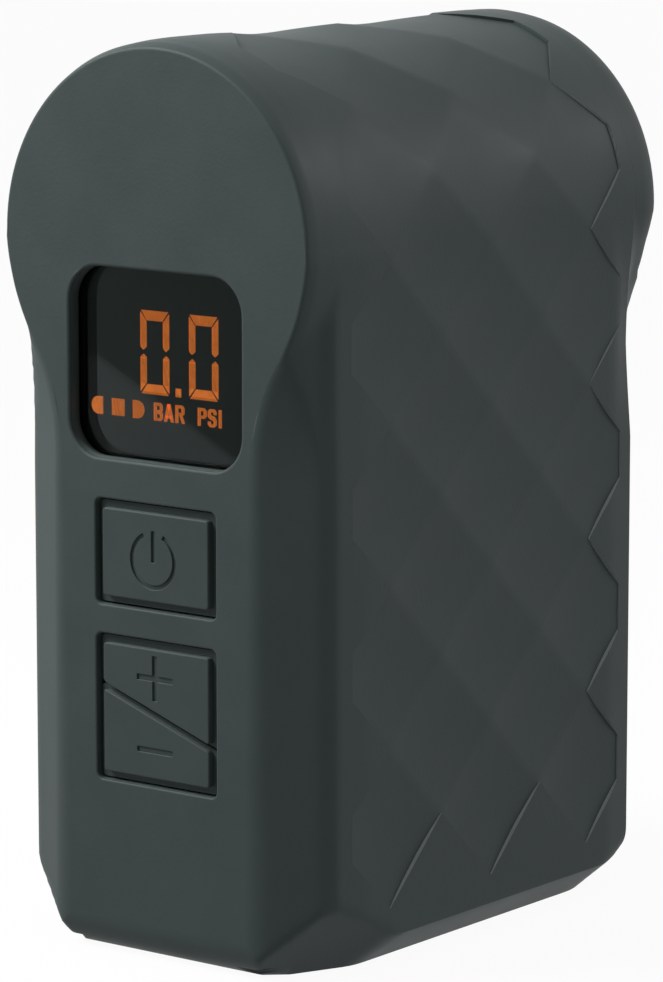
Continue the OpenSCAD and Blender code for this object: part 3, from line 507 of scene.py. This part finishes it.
def caseShell(rear=False):
    # a grid over stations round the section and depths: half width as a function of both, once
    # plain and once with the relief; each triangle comes from one of the two, with steps between
    f = caseForm
    yFace, inward = (yRear, -1) if rear else (yFront, 1)
    n = f["steps"]
    colStep = f["cellY"] / 2 / n
    rowStep = (headZ + halfWide * math.pi / 2 - f["fieldZ"]) / 12 / n
    # stations up the right side, over the head and down the left side
    low = np.concatenate([np.linspace(0, f["footRise"], 9)[:-1],
                          np.linspace(f["footRise"], f["fieldZ"], 8)[:-1]])
    s = f["fieldZ"] + rowStep * np.arange(24 * n + 1)
    full = 2 * (headZ + halfWide * math.pi / 2)
    s = np.concatenate([low, s, full - low[::-1]])
    right = s < headZ
    left = s > headZ + halfWide * math.pi
    over = ~right & ~left
    z = np.where(right, s, np.where(left, full - s, headZ))
    angle = np.where(over, (s - headZ) / halfWide, np.where(right, 0, math.pi))
    # depths of the columns: edge rounding, chamfer, facets, then the lattice
    lattice = colStep * np.arange(-27, 28)
    near = yFace + inward * np.array([1.45, 2.1, 2.9, 3.7, 4.15, 4.65, 5.2, 5.9, 6.5, 7.3, 8.3])
    if rear:
        y = np.append(near[near > yPart + 0.3], (yPart + 0.1, yPart))
    else:
        y = np.concatenate([near[near < lattice[0] - 0.3], lattice, [yPart - 2.1, yPart - 1.0, yPart - 0.1, yPart]])
    z2, y2 = z[:, None], y[None, :]

    def halfAt(yy, zz):
        # barrel radius over the head, and below it the smaller one of the side and the foot's bevel
        wide = np.where(over[:, None], barrelRadius(yy), sideHalf(yy, zz))
        bevel = halfWide - f["footIn"] * (1 - zz / f["footRise"])
        wide = np.where(over[:, None], wide, smoothMin(wide, bevel, 0.25))
        return wide

    half = halfAt(np.broadcast_to(y2, (len(z), len(y))), np.broadcast_to(z2, (len(z), len(y))))
    # edge rounding as a curve between a point on the face and one on the side
    size = np.interp(z, [0, 12, 60, 95, 200],
                     [f["footFillet"], f["footFillet"], 1.3, f["headFillet"], f["headFillet"]])
    back = np.interp(z, [0, 74, 90, 200], [0.48, 0.48, 0.95, 1.0]) * size
    faceHalf = halfAt(np.full((len(z), 1), yFace), z2)[:, 0]
    endHalf = halfAt((yFace + inward * back)[:, None], z2)[:, 0]
    t = np.linspace(0, 1, 8)[None, :]
    x0, x1, x2 = (faceHalf - size)[:, None], faceHalf[:, None], endHalf[:, None]
    edgeX = (1 - t) ** 2 * x0 + 2 * t * (1 - t) * x1 + t * t * x2
    edgeY = yFace + inward * t * t * back[:, None]
    cols = np.concatenate([np.broadcast_to(edgeY, edgeX.shape), np.broadcast_to(y2, half.shape)], 1)
    wide = np.concatenate([edgeX, half], 1)
    # depth of the relief on the lattice columns
    u = cols / (f["cellY"] / 2) + 3
    w = np.broadcast_to(((s - f["fieldZ"]) / (rowStep * n))[:, None], cols.shape)
    sunk = np.minimum(wide, halfWide - dishDepth(u, w))

    def place(width):
        # polar about the head's axis over the head, and at its height below it
        return np.stack([width * np.cos(angle)[:, None] * np.ones_like(width),
                         cols,
                         np.where(over[:, None], headZ + width * np.sin(angle)[:, None], z2)], 2)

    base = place(wide)
    base[:, :, 0] = np.where(over[:, None], base[:, :, 0], np.where(right[:, None], wide, -wide))
    deep = place(sunk)
    deep[:, :, 0] = np.where(over[:, None], deep[:, :, 0], np.where(right[:, None], sunk, -sunk))
    rows, count = cols.shape
    number = np.arange(rows * count).reshape(rows, count)
    a, b = number[:-1, :-1], number[:-1, 1:]
    c, d = number[1:, 1:], number[1:, :-1]
    um = (u[:-1, :-1] + u[:-1, 1:]) / 2
    wm = (w[:-1, :-1] + w[1:, :-1]) / 2
    # the diagonal of each quad follows the diamond's edge that is nearest to it
    even = (np.round(um) + np.round(wm)) % 2 == 0
    falling = (um - np.round(um)) * (wm - np.round(wm)) * np.where(even, 1, -1) > 0
    t1 = np.where(falling[..., None], np.stack([a, b, d], 2), np.stack([a, b, c], 2)).reshape(-1, 3)
    t2 = np.where(falling[..., None], np.stack([b, c, d], 2), np.stack([a, c, d], 2)).reshape(-1, 3)
    tris = np.concatenate([t1, t2])
    uf, wf = u.ravel()[tris].mean(1), w.ravel()[tris].mean(1)
    # a triangle belongs to the relief if it lies in a diamond whose centre is inside the field
    u0, w0 = np.round(uf), np.round(wf)
    odd = (u0 + w0) % 2 != 0
    du, dw = uf - u0, wf - w0
    cu = np.where(odd & (np.abs(du) >= np.abs(dw)), u0 + np.sign(du), u0)
    cw = np.where(odd & (np.abs(du) < np.abs(dw)), w0 + np.sign(dw), w0)
    inField = (not rear) & (cu > 0.5) & (cu < 5.5) & (cw > 0.5) & (cw < 23.5)
    inField &= np.abs(uf - 3) < 2 + f["clipSteps"] / n
    total = rows * count
    plainTris, sunkTris = tris[~inField], tris[inField]

    def edgesOf(block):
        # the three directed edges of each triangle
        return np.concatenate([block[:, [0, 1]], block[:, [1, 2]], block[:, [2, 0]]])

    sunkEdges = edgesOf(sunkTris)
    plainKeys = edgesOf(plainTris) @ np.array([total, 1])
    border = sunkEdges[np.isin(sunkEdges[:, ::-1] @ np.array([total, 1]), plainKeys)]
    walls = np.stack([border[:, 1] + total, border[:, 0] + total, border[:, 0], border[:, 1]], 1)
    pile = Pile()
    pile.add(np.concatenate([base.reshape(-1, 3), deep.reshape(-1, 3)]),
             [plainTris, sunkTris + total, walls])
    # underside: the lowest row shrinks towards the middle line; only its ends reach the corner facets
    share = np.concatenate([[1], np.linspace(0.7, -0.7, 23), [-1]])[:, None, None]
    foot = base[0][None] * np.ones_like(share)
    foot[:, :, 0] *= share[:, :, 0]
    pile.grid(foot, flip=True)
    # the part of the front face that bends under the foot
    nLow = len(low)
    strip = base[:nLow + 1, 0][:, None] * np.ones((1, len(share), 1))
    strip[:, :, 0] *= share[:, 0, 0]
    pile.grid(strip)
    outline = np.concatenate([strip[-1][::-1][:, [0, 2]], base[nLow + 1:rows - nLow - 1, 0][:, [0, 2]]])
    return pile, cleanLoop(outline)


def clampFoot(points):
    # front rounding: points outside the quarter cylinder move onto it
    f = caseForm
    p = points.copy()
    r = f["footRound"]
    flipped = p[:, 1] > 0
    y = np.where(flipped, -p[:, 1], p[:, 1])
    cy = yFront + r
    dy, dz = y - cy, p[:, 2] - r
    out = (dy < 0) & (dz < 0)
    length = np.maximum(np.hypot(dy, dz), 1e-9)
    k = np.where(out & (length > r), r / length, 1)
    y = np.where(out, cy + dy * k, y)
    p[:, 2] = np.where(out, r + dz * k, p[:, 2])
    # corner facet: points beyond the plane move back onto it
    q = np.stack([np.abs(p[:, 0]), y, p[:, 2]], 1)
    push, normal = np.zeros(len(q)), np.zeros((len(q), 3))
    for end, reach, rise, soft in ((False, f["cornerBack"], f["cornerRise"], f["frontSoft"]),
                                   (True, f["rearCornerBack"], f["rearCornerRise"], f["rearSoft"])):
        a = np.array([halfWide - f["faceIn"], yFront + r, 0])
        b = np.array([halfWide - f["footIn"], yFront + reach, 0])
        c = np.array([halfWide - f["edgeIn"], yFront + f["edgeBack"], rise])
        out = np.cross(b - a, c - a)
        out /= np.linalg.norm(out)
        out *= 1 if out[2] < 0 else -1
        over = (q - a) @ out
        amount = np.where(over > soft, over, np.maximum(over + soft, 0) ** 2 / (4 * soft))
        use = (flipped == end) & (over > -soft)
        push = np.where(use, amount, push)
        normal = np.where(use[:, None], out, normal)
    # near the floor the move is level, so that the underside keeps a straight edge
    level = normal * (1, 1, 0)
    level /= np.maximum((level * level).sum(1), 1e-6)[:, None]
    low = np.clip(1 - q[:, 2] / f["levelBelow"], 0, 1)[:, None]
    q = q - push[:, None] * (level * low + normal * (1 - low))
    p[:, 0] = np.where(np.abs(points[:, 0]) < 1e-6, 0, np.sign(points[:, 0]) * q[:, 0])
    p[:, 1] = np.where(flipped, -q[:, 1], q[:, 1])
    p[:, 2] = q[:, 2]
    return p


# window and key openings; drops are measured down from the head's axis
gauge = dict(wide=2 * halfWide - 25, high=27.1, corner=5.3, drop=17.6, edge=0.45)
slots = dict(wide=21.8, corner=1.0, powerHigh=15.2, powerDrop=44.5, levelHigh=21.2, levelDrop=66.9,
             edge=0.3)

winZ = headZ - gauge["drop"]
powerZ = headZ - slots["powerDrop"]
levelZ = headZ - slots["levelDrop"]

shell, faceLoop = caseShell()
windowLoop = cleanLoop(roundedLoop(gauge["wide"], gauge["high"], gauge["corner"], (0, winZ), 14))
rims = [lip(shell, windowLoop, yFront, gauge["edge"], caseForm["wall"])]
for high, z in ((slots["powerHigh"], powerZ), (slots["levelHigh"], levelZ)):
    slotLoop = cleanLoop(roundedLoop(slots["wide"], high, slots["corner"], (0, z), 7))
    rims.append(lip(shell, slotLoop, yFront, slots["edge"], caseForm["wall"]))
flatFace(shell, faceLoop, rims, yFront)
points, faces = shell.all()
points = clampFoot(points)
case = meshPiece("case_shell", points, faces, materials["case_plastic"], "case", "housing",
                 caseForm["sharp"])


# where the steps of the relief and the walls of the recesses are looked for, to be painted lighter as painted light
stepForm = dict(turned=0.55, depth=33.2, inside=1.5, above=7, overAxis=19.4,
                wallDepth=-39.7, wallStart=0.4, wallHalf=16, wallAbove=20, wallOver=14.2)


def thicken(piece, amount):
    # gives a skin its moulded wall thickness on the inside
    solid = piece.modifiers.new("wall", "SOLIDIFY")
    solid.thickness = amount * mm
    solid.offset = -1
    solid.use_rim = True


def paintLightOnSteps(piece, relief, recess):
    # painted light: the steps get a pale colour as a painted highlight, and the recess and key opening walls get a
    # lighter colour in place of light in their shade
    # the steps round the relief are the faces turned away from the case's own outward direction:
    # the cosine between the two is small
    f = stepForm
    mesh = piece.data
    center, normal, _ = faceData(mesh)
    center = center / mm
    up = np.maximum(center[:, 2] - headZ, 0)
    out = np.stack([center[:, 0], np.zeros(len(up)), up], 1)
    reach = np.linalg.norm(out, axis=1)
    facing = np.abs((out * normal).sum(1)) / np.maximum(reach, 1e-6)
    step = (facing < f["turned"]) & (np.abs(center[:, 1]) < f["depth"]) & (reach > halfWide - f["inside"])
    step &= (center[:, 2] > f["above"]) & (center[:, 2] < headZ + f["overAxis"])
    # and the walls of the window recess and of the key openings
    walls = (center[:, 1] < f["wallDepth"]) & (center[:, 1] > yFront + f["wallStart"])
    walls &= (np.abs(center[:, 0]) < f["wallHalf"]) & (center[:, 2] > f["wallAbove"])
    walls &= center[:, 2] < winZ + f["wallOver"]
    # index 1 paints the steps pale as a painted highlight, and index 2 paints the recess walls lighter as painted
    # light
    mesh.materials.append(relief)
    mesh.materials.append(recess)
    mesh.polygons.foreach_set("material_index", np.where(walls, 2, step).astype(np.int32))
    print("relief steps:", int(step.sum()), "faces")


paintLightOnSteps(case, materials["case_step_painted_light"], materials["recess_wall_painted_light"])
thicken(case, caseForm["skin"])
print("case shell:", len(case.data.polygons), "faces")


# rear cover: sunk screws, outlet, vents and charging socket
coverForm = dict(screwRadius=2.4, screwDepth=3.0, screwIn=4.95, screwTurn=49.4, screwDrop=36, screwFace=3.2,
                 screwLift=2.2, outletRise=8.0, outletRadius=5.55, ventWide=16.0, ventHigh=1.6,
                 ventPitch=3.4, ventDrop=44.0, ventCorner=0.5, socketWide=9.4, socketHigh=3.7,
                 socketCorner=1.8, edge=0.25)


def circleLoop(center, radius, count=40):
    # centre plus radius times the cosine and sine of equal steps of a turn
    a = np.linspace(0, 2 * math.pi, count, endpoint=False)
    return np.stack([center[0] + radius * np.cos(a), center[1] + radius * np.sin(a)], 1)


cf = coverForm
socketLow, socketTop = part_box("charge_socket")
socketZ = (socketLow.z + socketTop.z) / 2 / mm
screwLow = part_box("cover_screws")[0]
screwX = (halfWide - cf["screwIn"]) * math.cos(math.radians(cf["screwTurn"]))
screwZ = headZ + (halfWide - cf["screwIn"]) * math.sin(math.radians(cf["screwTurn"]))
lowX = halfWide - caseForm["faceIn"] - cf["screwFace"]
rightSpots = ((screwX, screwZ), (lowX, headZ - cf["screwDrop"]), (lowX, screwLow.z / mm + cf["screwLift"]))
screwSpots = [(k * x, z) for x, z in rightSpots for k in (-1, 1)]
back, backLoop = caseShell(rear=True)
holes = [circleLoop((0, headZ + cf["outletRise"]), cf["outletRadius"], 64)]
for k in range(5):
    ventZ = headZ - cf["ventDrop"] + cf["ventPitch"] * k + cf["ventHigh"] / 2
    holes += [cleanLoop(roundedLoop(cf["ventWide"], cf["ventHigh"], cf["ventCorner"], (0, ventZ), 5))]
holes += [cleanLoop(roundedLoop(cf["socketWide"], cf["socketHigh"], cf["socketCorner"], (0, socketZ), 9))]
rims = [lip(back, loop, yRear, cf["edge"], caseForm["wall"], inward=-1) for loop in holes]
rims += [lip(back, circleLoop(spot, cf["screwRadius"]), yRear, cf["edge"], cf["screwDepth"], True, -1)
         for spot in screwSpots]
flatFace(back, backLoop, rims, yRear)
points, faces = back.all()
points = clampFoot(points)
cover = meshPiece("cover_shell", points, faces, materials["cover_plastic"], "case", "rear_cover",
                  caseForm["sharp"])
thicken(cover, caseForm["skin"])
print("rear cover:", len(cover.data.polygons), "faces")


# keys: gap to the slot, marks, and the shoulder and flange that stay hidden behind the case
keyForm = dict(gap=1.3, corner=0.6, edge=0.22, shoulderDepth=1.0, shoulderGap=0.3, flangeGrow=1.2,
               flangeDepth=2.5, flangeThick=1.2, slit=0.5, slitFall=6.7, slitDrop=0.26, markDeep=0.3,
               ring=3.85, ringWidth=0.64, ringOpen=26, barWide=0.66, barLow=-0.3, barHigh=4.2,
               crossArm=3.25, crossWide=0.85, minusWide=0.8, markEdge=0.09, sharp=40,
               shoulderSlit=0.17, shoulderCorner=0.7, flangeSlit=0.5, flangeCorner=1.0,
               ringX=-0.35, ringDrop=0.4, crossX=-0.2, crossRise=5.1, minusDrop=5.3)


def splitCorners(halfW, low, high, side, gap):
    # corners of the whole slot (side 0), or of the part above (1) or below (-1) the slanted slit
    k = keyForm
    slope = k["slitFall"] / (slots["wide"] - 2 * k["gap"])
    middle = levelZ - k["slitDrop"] + side * gap
    if side > 0:
        return [(-halfW, middle + slope * halfW), (halfW, middle - slope * halfW), (halfW, high), (-halfW, high)]
    if side < 0:
        return [(-halfW, low), (halfW, low), (halfW, middle - slope * halfW), (-halfW, middle + slope * halfW)]
    return [(-halfW, low), (halfW, low), (halfW, high), (-halfW, high)]


def wallRows(pile, loop, y0, y1):
    # the outline carried straight from one depth to the other
    rows = np.stack([np.stack([loop[:, 0], np.full(len(loop), y), loop[:, 1]], 1) for y in (y0, y1)])
    pile.grid(np.concatenate([rows, rows[:, :1]], 1))


def makeKey(name, node, body, centerZ, slotHigh, side, marks):
    # face with sunk marks, quarter round edge, flank to a shoulder, flange behind it; the
    # outlines are the slot's, moved in or out
    k = keyForm
    half, tall = slots["wide"] / 2, slotHigh / 2

    def outline(grow, slitGap, cut):
        # the slot's corners moved out by grow and rounded by cut
        corners = splitCorners(half + grow, centerZ - tall - grow, centerZ + tall + grow, side, slitGap)
        return roundCorners(corners, cut)

    cap = outline(-k["gap"], k["slit"], k["corner"])
    shoulder = outline(-k["shoulderGap"], k["shoulderSlit"], k["shoulderCorner"])
    flange = outline(k["flangeGrow"], k["flangeSlit"], k["flangeCorner"])
    pile = Pile()
    t = np.linspace(0, math.pi / 2, 5)
    edge = k["edge"]
    rows = [np.stack([g[:, 0], np.full(len(g), yFront + b), g[:, 1]], 1)
            for g, b in ((grown(cap, -edge * (1 - math.sin(a))), edge * (1 - math.cos(a))) for a in t)]
    rows.append(np.stack([cap[:, 0], np.full(len(cap), yFront + k["shoulderDepth"]), cap[:, 1]], 1))
    rows = np.stack(rows)
    pile.grid(np.concatenate([rows, rows[:, :1]], 1))
    rims = [lip(pile, mark, yFront, k["markEdge"], k["markDeep"], True) for mark in marks]
    flatFace(pile, rows[0][:, [0, 2]], rims, yFront)
    y1 = yFront + k["shoulderDepth"]
    y2 = yFront + k["flangeDepth"]
    flatFace(pile, shoulder, [cap], y1)
    wallRows(pile, shoulder, y1, y2)
    flatFace(pile, flange, [shoulder], y2)
    wallRows(pile, flange, y2, y2 + k["flangeThick"])
    flatFace(pile, flange, [], y2 + k["flangeThick"])
    points, faces = pile.all()
    key = meshPiece(name, points, faces, materials["key_plastic"], body, node, k["sharp"])
    # the flanks take the lighter recess finish: painted light, so the walls in the slot's shade look lit
    flank = np.abs(faceData(key.data)[1][:, 1]) < 0.3  # walls along the travel
    key.data.materials.append(materials["recess_wall_painted_light"])
    key.data.polygons.foreach_set("material_index", flank.astype(np.int32))


def ringLoop(center, radius, width, openDeg, count=56):
    # band along a circle, from one side of the opening round the bottom to the other
    a = np.radians(np.linspace(90 + openDeg, 450 - openDeg, count))
    outer = np.stack([np.cos(a), np.sin(a)], 1) * (radius + width / 2)
    inner = np.stack([np.cos(a), np.sin(a)], 1)[::-1] * (radius - width / 2)
    return np.concatenate([outer, inner]) + np.array(center)


def barLoop(x0, x1, z0, z1):
    # rectangle with corners cut at 0.3 of its smaller side
    return roundCorners([(x0, z0), (x1, z0), (x1, z1), (x0, z1)], min(x1 - x0, z1 - z0) * 0.3, 4)


k = keyForm
ringX, ringZ = k["ringX"], powerZ - k["ringDrop"]
crossX, crossZ, minusZ = k["crossX"], levelZ + k["crossRise"], levelZ - k["minusDrop"]
arm, w = k["crossArm"], k["crossWide"] / 2
cross = np.array([(arm, w), (w, w), (w, arm), (-w, arm), (-w, w), (-arm, w),
                  (-arm, -w), (-w, -w), (-w, -arm), (w, -arm), (w, -w), (arm, -w)]) + (crossX, crossZ)
makeKey("power_key_cap", "power_key", "power_button", powerZ, slots["powerHigh"], 0,
        [ringLoop((ringX, ringZ), k["ring"], k["ringWidth"], k["ringOpen"]),
         barLoop(ringX - k["barWide"] / 2, ringX + k["barWide"] / 2, ringZ + k["barLow"], ringZ + k["barHigh"])])
makeKey("plus_key_cap", "plus_key", "plus_button", levelZ, slots["levelHigh"], 1, [cross])
makeKey("minus_key_cap", "minus_key", "minus_button", levelZ, slots["levelHigh"], -1,
        [barLoop(crossX - arm, crossX + arm, minusZ - k["minusWide"] / 2, minusZ + k["minusWide"] / 2)])
print("keys made")


display = dict(front=yFront + 3.2, thick=0.15, gap=0.16, digitHigh=11.8, digitWide=5.15, segment=1.05,
               bar=1.4, digits=(-2.47, 6.33), digitDrop=16.0, pointDrop=21.3, rowDrop=24.3, capHigh=2.54,
               point=(1.3, 2.22), pointHalf=0.6, square=(-10.36, -8.14), squareHalf=1.2,
               halves=((-12.07, -1), (-6.52, 1)), halfFlat=0.77, sharp=30)


def slab(pile, corners):
    # flat plate with the given outline
    loop = np.array(corners, float)
    d = display
    flatFace(pile, loop, [], d["front"])
    wallRows(pile, loop, d["front"], d["front"] + d["thick"])
    flatFace(pile, loop, [], d["front"] + d["thick"])


def digitZero(pile, x, z):
    # six bars with slanted ends, as one side bar and one end bar mirrored about the middle
    d = display
    w, h, s, b, g = d["digitWide"] / 2, d["digitHigh"] / 2, d["segment"], d["bar"], d["gap"]
    for a in (-1, 1):
        for c in (-1, 1):
            side = [(w, h - 2 * g), (w, 0.75), (w - s / 2, 0.3), (w - s, 0.75), (w - s, h - b - g)]
            slab(pile, [(x + a * p, z + c * q) for p, q in side[::a * c]])
        top = [(g - w, h), (w - g, h), (w - s - g, h - b), (g + s - w, h - b)]
        slab(pile, [(x + p, z + a * q) for p, q in top[::a]])


def dShape(x, z, side):
    # straight inner edge, short flanks, half circle outside
    d = display
    r = d["capHigh"] / 2
    a = np.linspace(-math.pi / 2, math.pi / 2, 17)
    arc = np.stack([d["halfFlat"] + r * np.cos(a), r * np.sin(a)], 1)
    pts = np.concatenate([[[0, -r]], arc, [[0, r]]])
    return [(x + side * p, z + q) for p, q in pts[::side]]


lit = Pile()
d = display
for x in d["digits"]:
    digitZero(lit, x, headZ - d["digitDrop"])
pointZ, rowZ = headZ - d["pointDrop"], headZ - d["rowDrop"]
for (x0, x1), z, h in ((d["point"], pointZ, d["pointHalf"]), (d["square"], rowZ, d["squareHalf"])):
    slab(lit, [(x0, z - h), (x1, z - h), (x1, z + h), (x0, z + h)])
for x, side in d["halves"]:
    slab(lit, dShape(x, rowZ, side))


def frameSlab(x, outer, inner):
    # plate with a hole: both outlines moved to the letter's place, filled between and walled
    out = np.array([(x + p, rowZ + q) for p, q in outer], float)
    hole = np.array([(x + p, rowZ + q) for p, q in inner], float)
    d = display
    for y in (d["front"], d["front"] + d["thick"]):
        flatFace(lit, out, [hole], y)
    wallRows(lit, out, d["front"], d["front"] + d["thick"])
    wallRows(lit, hole, d["front"], d["front"] + d["thick"])


def stroke(x, corners):
    # solid plate, moved to the letter's place
    slab(lit, [(x + p, rowZ + q) for p, q in corners])


def letterSet():
    # round letters are plates with holes, straight ones strokes; each starts at its own left edge
    letterB = -2.68
    frameSlab(letterB, [(0, -1.27), (1.2, -1.27), (1.58, -0.9), (1.58, -0.25), (1.35, 0.0), (0, 0.0)],
              [(0.46, -0.87), (1.02, -0.87), (1.12, -0.75), (1.12, -0.42), (1.02, -0.3), (0.46, -0.3)])
    frameSlab(letterB, [(0, 0.0), (1.35, 0.0), (1.52, 0.25), (1.52, 0.92), (1.18, 1.27), (0, 1.27)],
              [(0.46, 0.24), (1.0, 0.24), (1.08, 0.36), (1.08, 0.75), (1.0, 0.87), (0.46, 0.87)])
    letterA = letterB + 1.85
    stroke(letterA, [(0, -1.27), (0.46, -1.27), (1.1, 1.27), (0.6, 1.27)])
    stroke(letterA, [(1.24, -1.27), (1.7, -1.27), (1.1, 1.27), (0.6, 1.27)])
    stroke(letterA, [(0.32, -0.75), (1.38, -0.75), (1.28, -0.36), (0.42, -0.36)])
    letterR = letterB + 3.9
    frameSlab(letterR, [(0, -0.15), (1.3, -0.15), (1.58, 0.12), (1.58, 0.92), (1.22, 1.27), (0, 1.27)],
              [(0.46, 0.22), (1.02, 0.22), (1.12, 0.34), (1.12, 0.75), (1.02, 0.87), (0.46, 0.87)])
    stroke(letterR, [(0, -1.27), (0.46, -1.27), (0.46, -0.15), (0, -0.15)])
    stroke(letterR, [(0.75, -0.15), (1.2, -1.27), (1.67, -1.27), (1.2, -0.15)])
    letterP = 5.26
    frameSlab(letterP, [(0, -0.2), (1.2, -0.2), (1.5, 0.1), (1.5, 0.92), (1.15, 1.27), (0, 1.27)],
              [(0.46, 0.2), (0.95, 0.2), (1.05, 0.32), (1.05, 0.75), (0.95, 0.87), (0.46, 0.87)])
    stroke(letterP, [(0, -1.27), (0.46, -1.27), (0.46, -0.2), (0, -0.2)])
    letterS = letterP + 1.8
    stroke(letterS, [(0.35, -1.27), (1.15, -1.27), (1.5, -0.92), (1.5, -0.2), (1.2, 0.2), (0.47, 0.42),
                     (0.47, 0.75), (0.57, 0.87), (0.95, 0.87), (1.05, 0.75), (1.05, 0.5), (1.5, 0.5),
                     (1.5, 0.92), (1.15, 1.27), (0.35, 1.27), (0, 0.92), (0, 0.2), (0.3, -0.12), (1.03, -0.4),
                     (1.03, -0.75), (0.95, -0.87), (0.57, -0.87), (0.47, -0.75), (0.47, -0.5), (0, -0.5),
                     (0, -0.92)])
    letterI = letterP + 3.75
    stroke(letterI, [(0, -1.27), (0.46, -1.27), (0.46, 1.27), (0, 1.27)])


letterSet()
points, faces = lit.all()
meshPiece("display_figures", points, faces, materials["lit_segments"], "case", "display_segments",
          d["sharp"])
print("display made")


# focal length and height in pixels
view = dict(place=(0.4204, -0.5476, 0.1800), back=(0.6013, -0.7812, 0.1679), focal=4770.3, tall=982)
camData = bpy.data.cameras.new("camera")
camData.sensor_fit = "VERTICAL"
camData.sensor_height = 36
camData.sensor_width = 36
camData.lens = view["focal"] / view["tall"] * 36
camera = bpy.data.objects.new("camera", camData)
camera.location = view["place"]
camera.rotation_euler = Vector(view["back"]).to_track_quat("Z", "Y").to_euler()
bpy.context.scene.collection.objects.link(camera)
bpy.context.scene.camera = camera

# grey card that only reflections see: its edge runs aslant through the window's reflection
glass = dict(y=-0.0398, edge=((40, 316), (290, 506)), far=((290, 150), (40, 150)), away=0.30,
             middle=(331.5, 491), glow=0.5)


def mirrored(px, py):
    # ray through a point of the camera's frame to the window plane, mirrored in it and followed on
    back = Vector(view["back"]).normalized()
    right = Vector((0, 0, 1)).cross(back).normalized()
    up = back.cross(right)
    across, down = px - glass["middle"][0], py - glass["middle"][1]
    ray = right * across / view["focal"] - up * down / view["focal"] - back
    start = Vector(view["place"])
    hit = start + ray * (glass["y"] - start.y) / ray.y
    ray.y = -ray.y
    return hit + ray.normalized() * glass["away"]


corners = [mirrored(*p) for p in glass["edge"] + glass["far"]]
cardMesh = bpy.data.meshes.new("card")
cardMesh.from_pydata(corners, [], [(0, 1, 2, 3)])
cardMat = bpy.data.materials.new("card")
cardMat.use_nodes = True
shader = cardMat.node_tree.nodes["Principled BSDF"]
shader.inputs["Base Color"].default_value = (0.002, 0.002, 0.002, 1)
shader.inputs["Specular IOR Level"].default_value = 0
shader.inputs["Emission Color"].default_value = (0.92, 1.0, 0.95, 1)
shader.inputs["Emission Strength"].default_value = glass["glow"]
cardMesh.materials.append(cardMat)
card = bpy.data.objects.new("card", cardMesh)
card.visible_camera = card.visible_diffuse = card.visible_shadow = card.visible_transmission = False
bpy.context.scene.collection.objects.link(card)
print("camera and card placed")

# places and aims in metres, power in watts; a sheen lamp only shows in reflections
lamps = dict(
    left=dict(place=(-0.26, -0.26, 0.385), aim=(0, -0.04, 0.10), size=(0.25, 0.25), power=3.2),
    top=dict(place=(0.36, 0.05, 0.95), aim=(0, 0, 0.08), size=(0.4, 0.4), power=1.3),
    right=dict(place=(1.08, 0.25, 0.12), aim=(0, 0, 0.06), size=(0.6, 0.4), power=2.15),
    crown=dict(place=(0.80, 0.70, 0.66), aim=(0, 0, 0.12), size=(0.18, 0.18), power=5, sheen=True),
)
for name, lamp in lamps.items():
    data = bpy.data.lights.new(name, "AREA")
    data.shape = "RECTANGLE"
    data.size, data.size_y = lamp["size"]
    data.energy = lamp["power"]
    light = bpy.data.objects.new(name, data)
    light.location = lamp["place"]
    light.visible_diffuse = not lamp.get("sheen", False)
    light.rotation_euler = (Vector(lamp["place"]) - Vector(lamp["aim"])).to_track_quat("Z", "Y").to_euler()
    bpy.context.scene.collection.objects.link(light)


def seenRays(tree, share):
    # share * min(camera + glossy + transmission, 1): the rays that see the white background
    path = addNode(tree, "ShaderNodeLightPath")
    first = addNode(tree, "ShaderNodeMath", operation="ADD", use_clamp=True)
    second = addNode(tree, "ShaderNodeMath", operation="ADD", use_clamp=True)
    part = addNode(tree, "ShaderNodeMath", operation="MULTIPLY")
    part.inputs[1].default_value = share
    link = tree.links.new
    link(path.outputs["Is Camera Ray"], first.inputs[0])
    link(path.outputs["Is Glossy Ray"], first.inputs[1])
    link(first.outputs["Value"], second.inputs[0])
    link(path.outputs["Is Transmission Ray"], second.inputs[1])
    link(second.outputs["Value"], part.inputs[0])
    return part.outputs["Value"]


studio = dict(sky=0.15, paper=0.2, paperGlow=1.18, paperShare=0.8)

world = bpy.data.worlds.new("studio")
bpy.context.scene.world = world
world.use_nodes = True
tree = world.node_tree
soft = tree.nodes["Background"]
soft.inputs["Color"].default_value = (0.92, 0.96, 1.0, 1)
soft.inputs["Strength"].default_value = studio["sky"]
white = addNode(tree, "ShaderNodeBackground", Color=(1, 1, 1, 1), Strength=1.0)
pick = addNode(tree, "ShaderNodeMixShader")
tree.links.new(seenRays(tree, 1.0), pick.inputs["Fac"])
tree.links.new(soft.outputs["Background"], pick.inputs[1])
tree.links.new(white.outputs["Background"], pick.inputs[2])
tree.links.new(pick.outputs["Shader"], tree.nodes["World Output"].inputs["Surface"])

floorMat = bpy.data.materials.new("paper")
floorMat.use_nodes = True
tree = floorMat.node_tree
shader = tree.nodes["Principled BSDF"]
shader.inputs["Roughness"].default_value = 0.9
shader.inputs["Base Color"].default_value = (studio["paper"], studio["paper"], studio["paper"], 1)
glow = addNode(tree, "ShaderNodeEmission", Color=(1, 1, 1, 1), Strength=studio["paperGlow"])
pick = addNode(tree, "ShaderNodeMixShader")
tree.links.new(seenRays(tree, studio["paperShare"]), pick.inputs["Fac"])
tree.links.new(shader.outputs["BSDF"], pick.inputs[1])
tree.links.new(glow.outputs["Emission"], pick.inputs[2])
tree.links.new(pick.outputs["Shader"], tree.nodes["Material Output"].inputs["Surface"])
floorMesh = bpy.data.meshes.new("floor")
floorMesh.from_pydata([(-3, -3, 0), (3, -3, 0), (3, 3, 0), (-3, 3, 0)], [], [(0, 1, 2, 3)])
floorMesh.materials.append(floorMat)
floor = bpy.data.objects.new("floor", floorMesh)
bpy.context.scene.collection.objects.link(floor)

bpy.context.scene.view_settings.view_transform = "Standard"

print("scene ready")
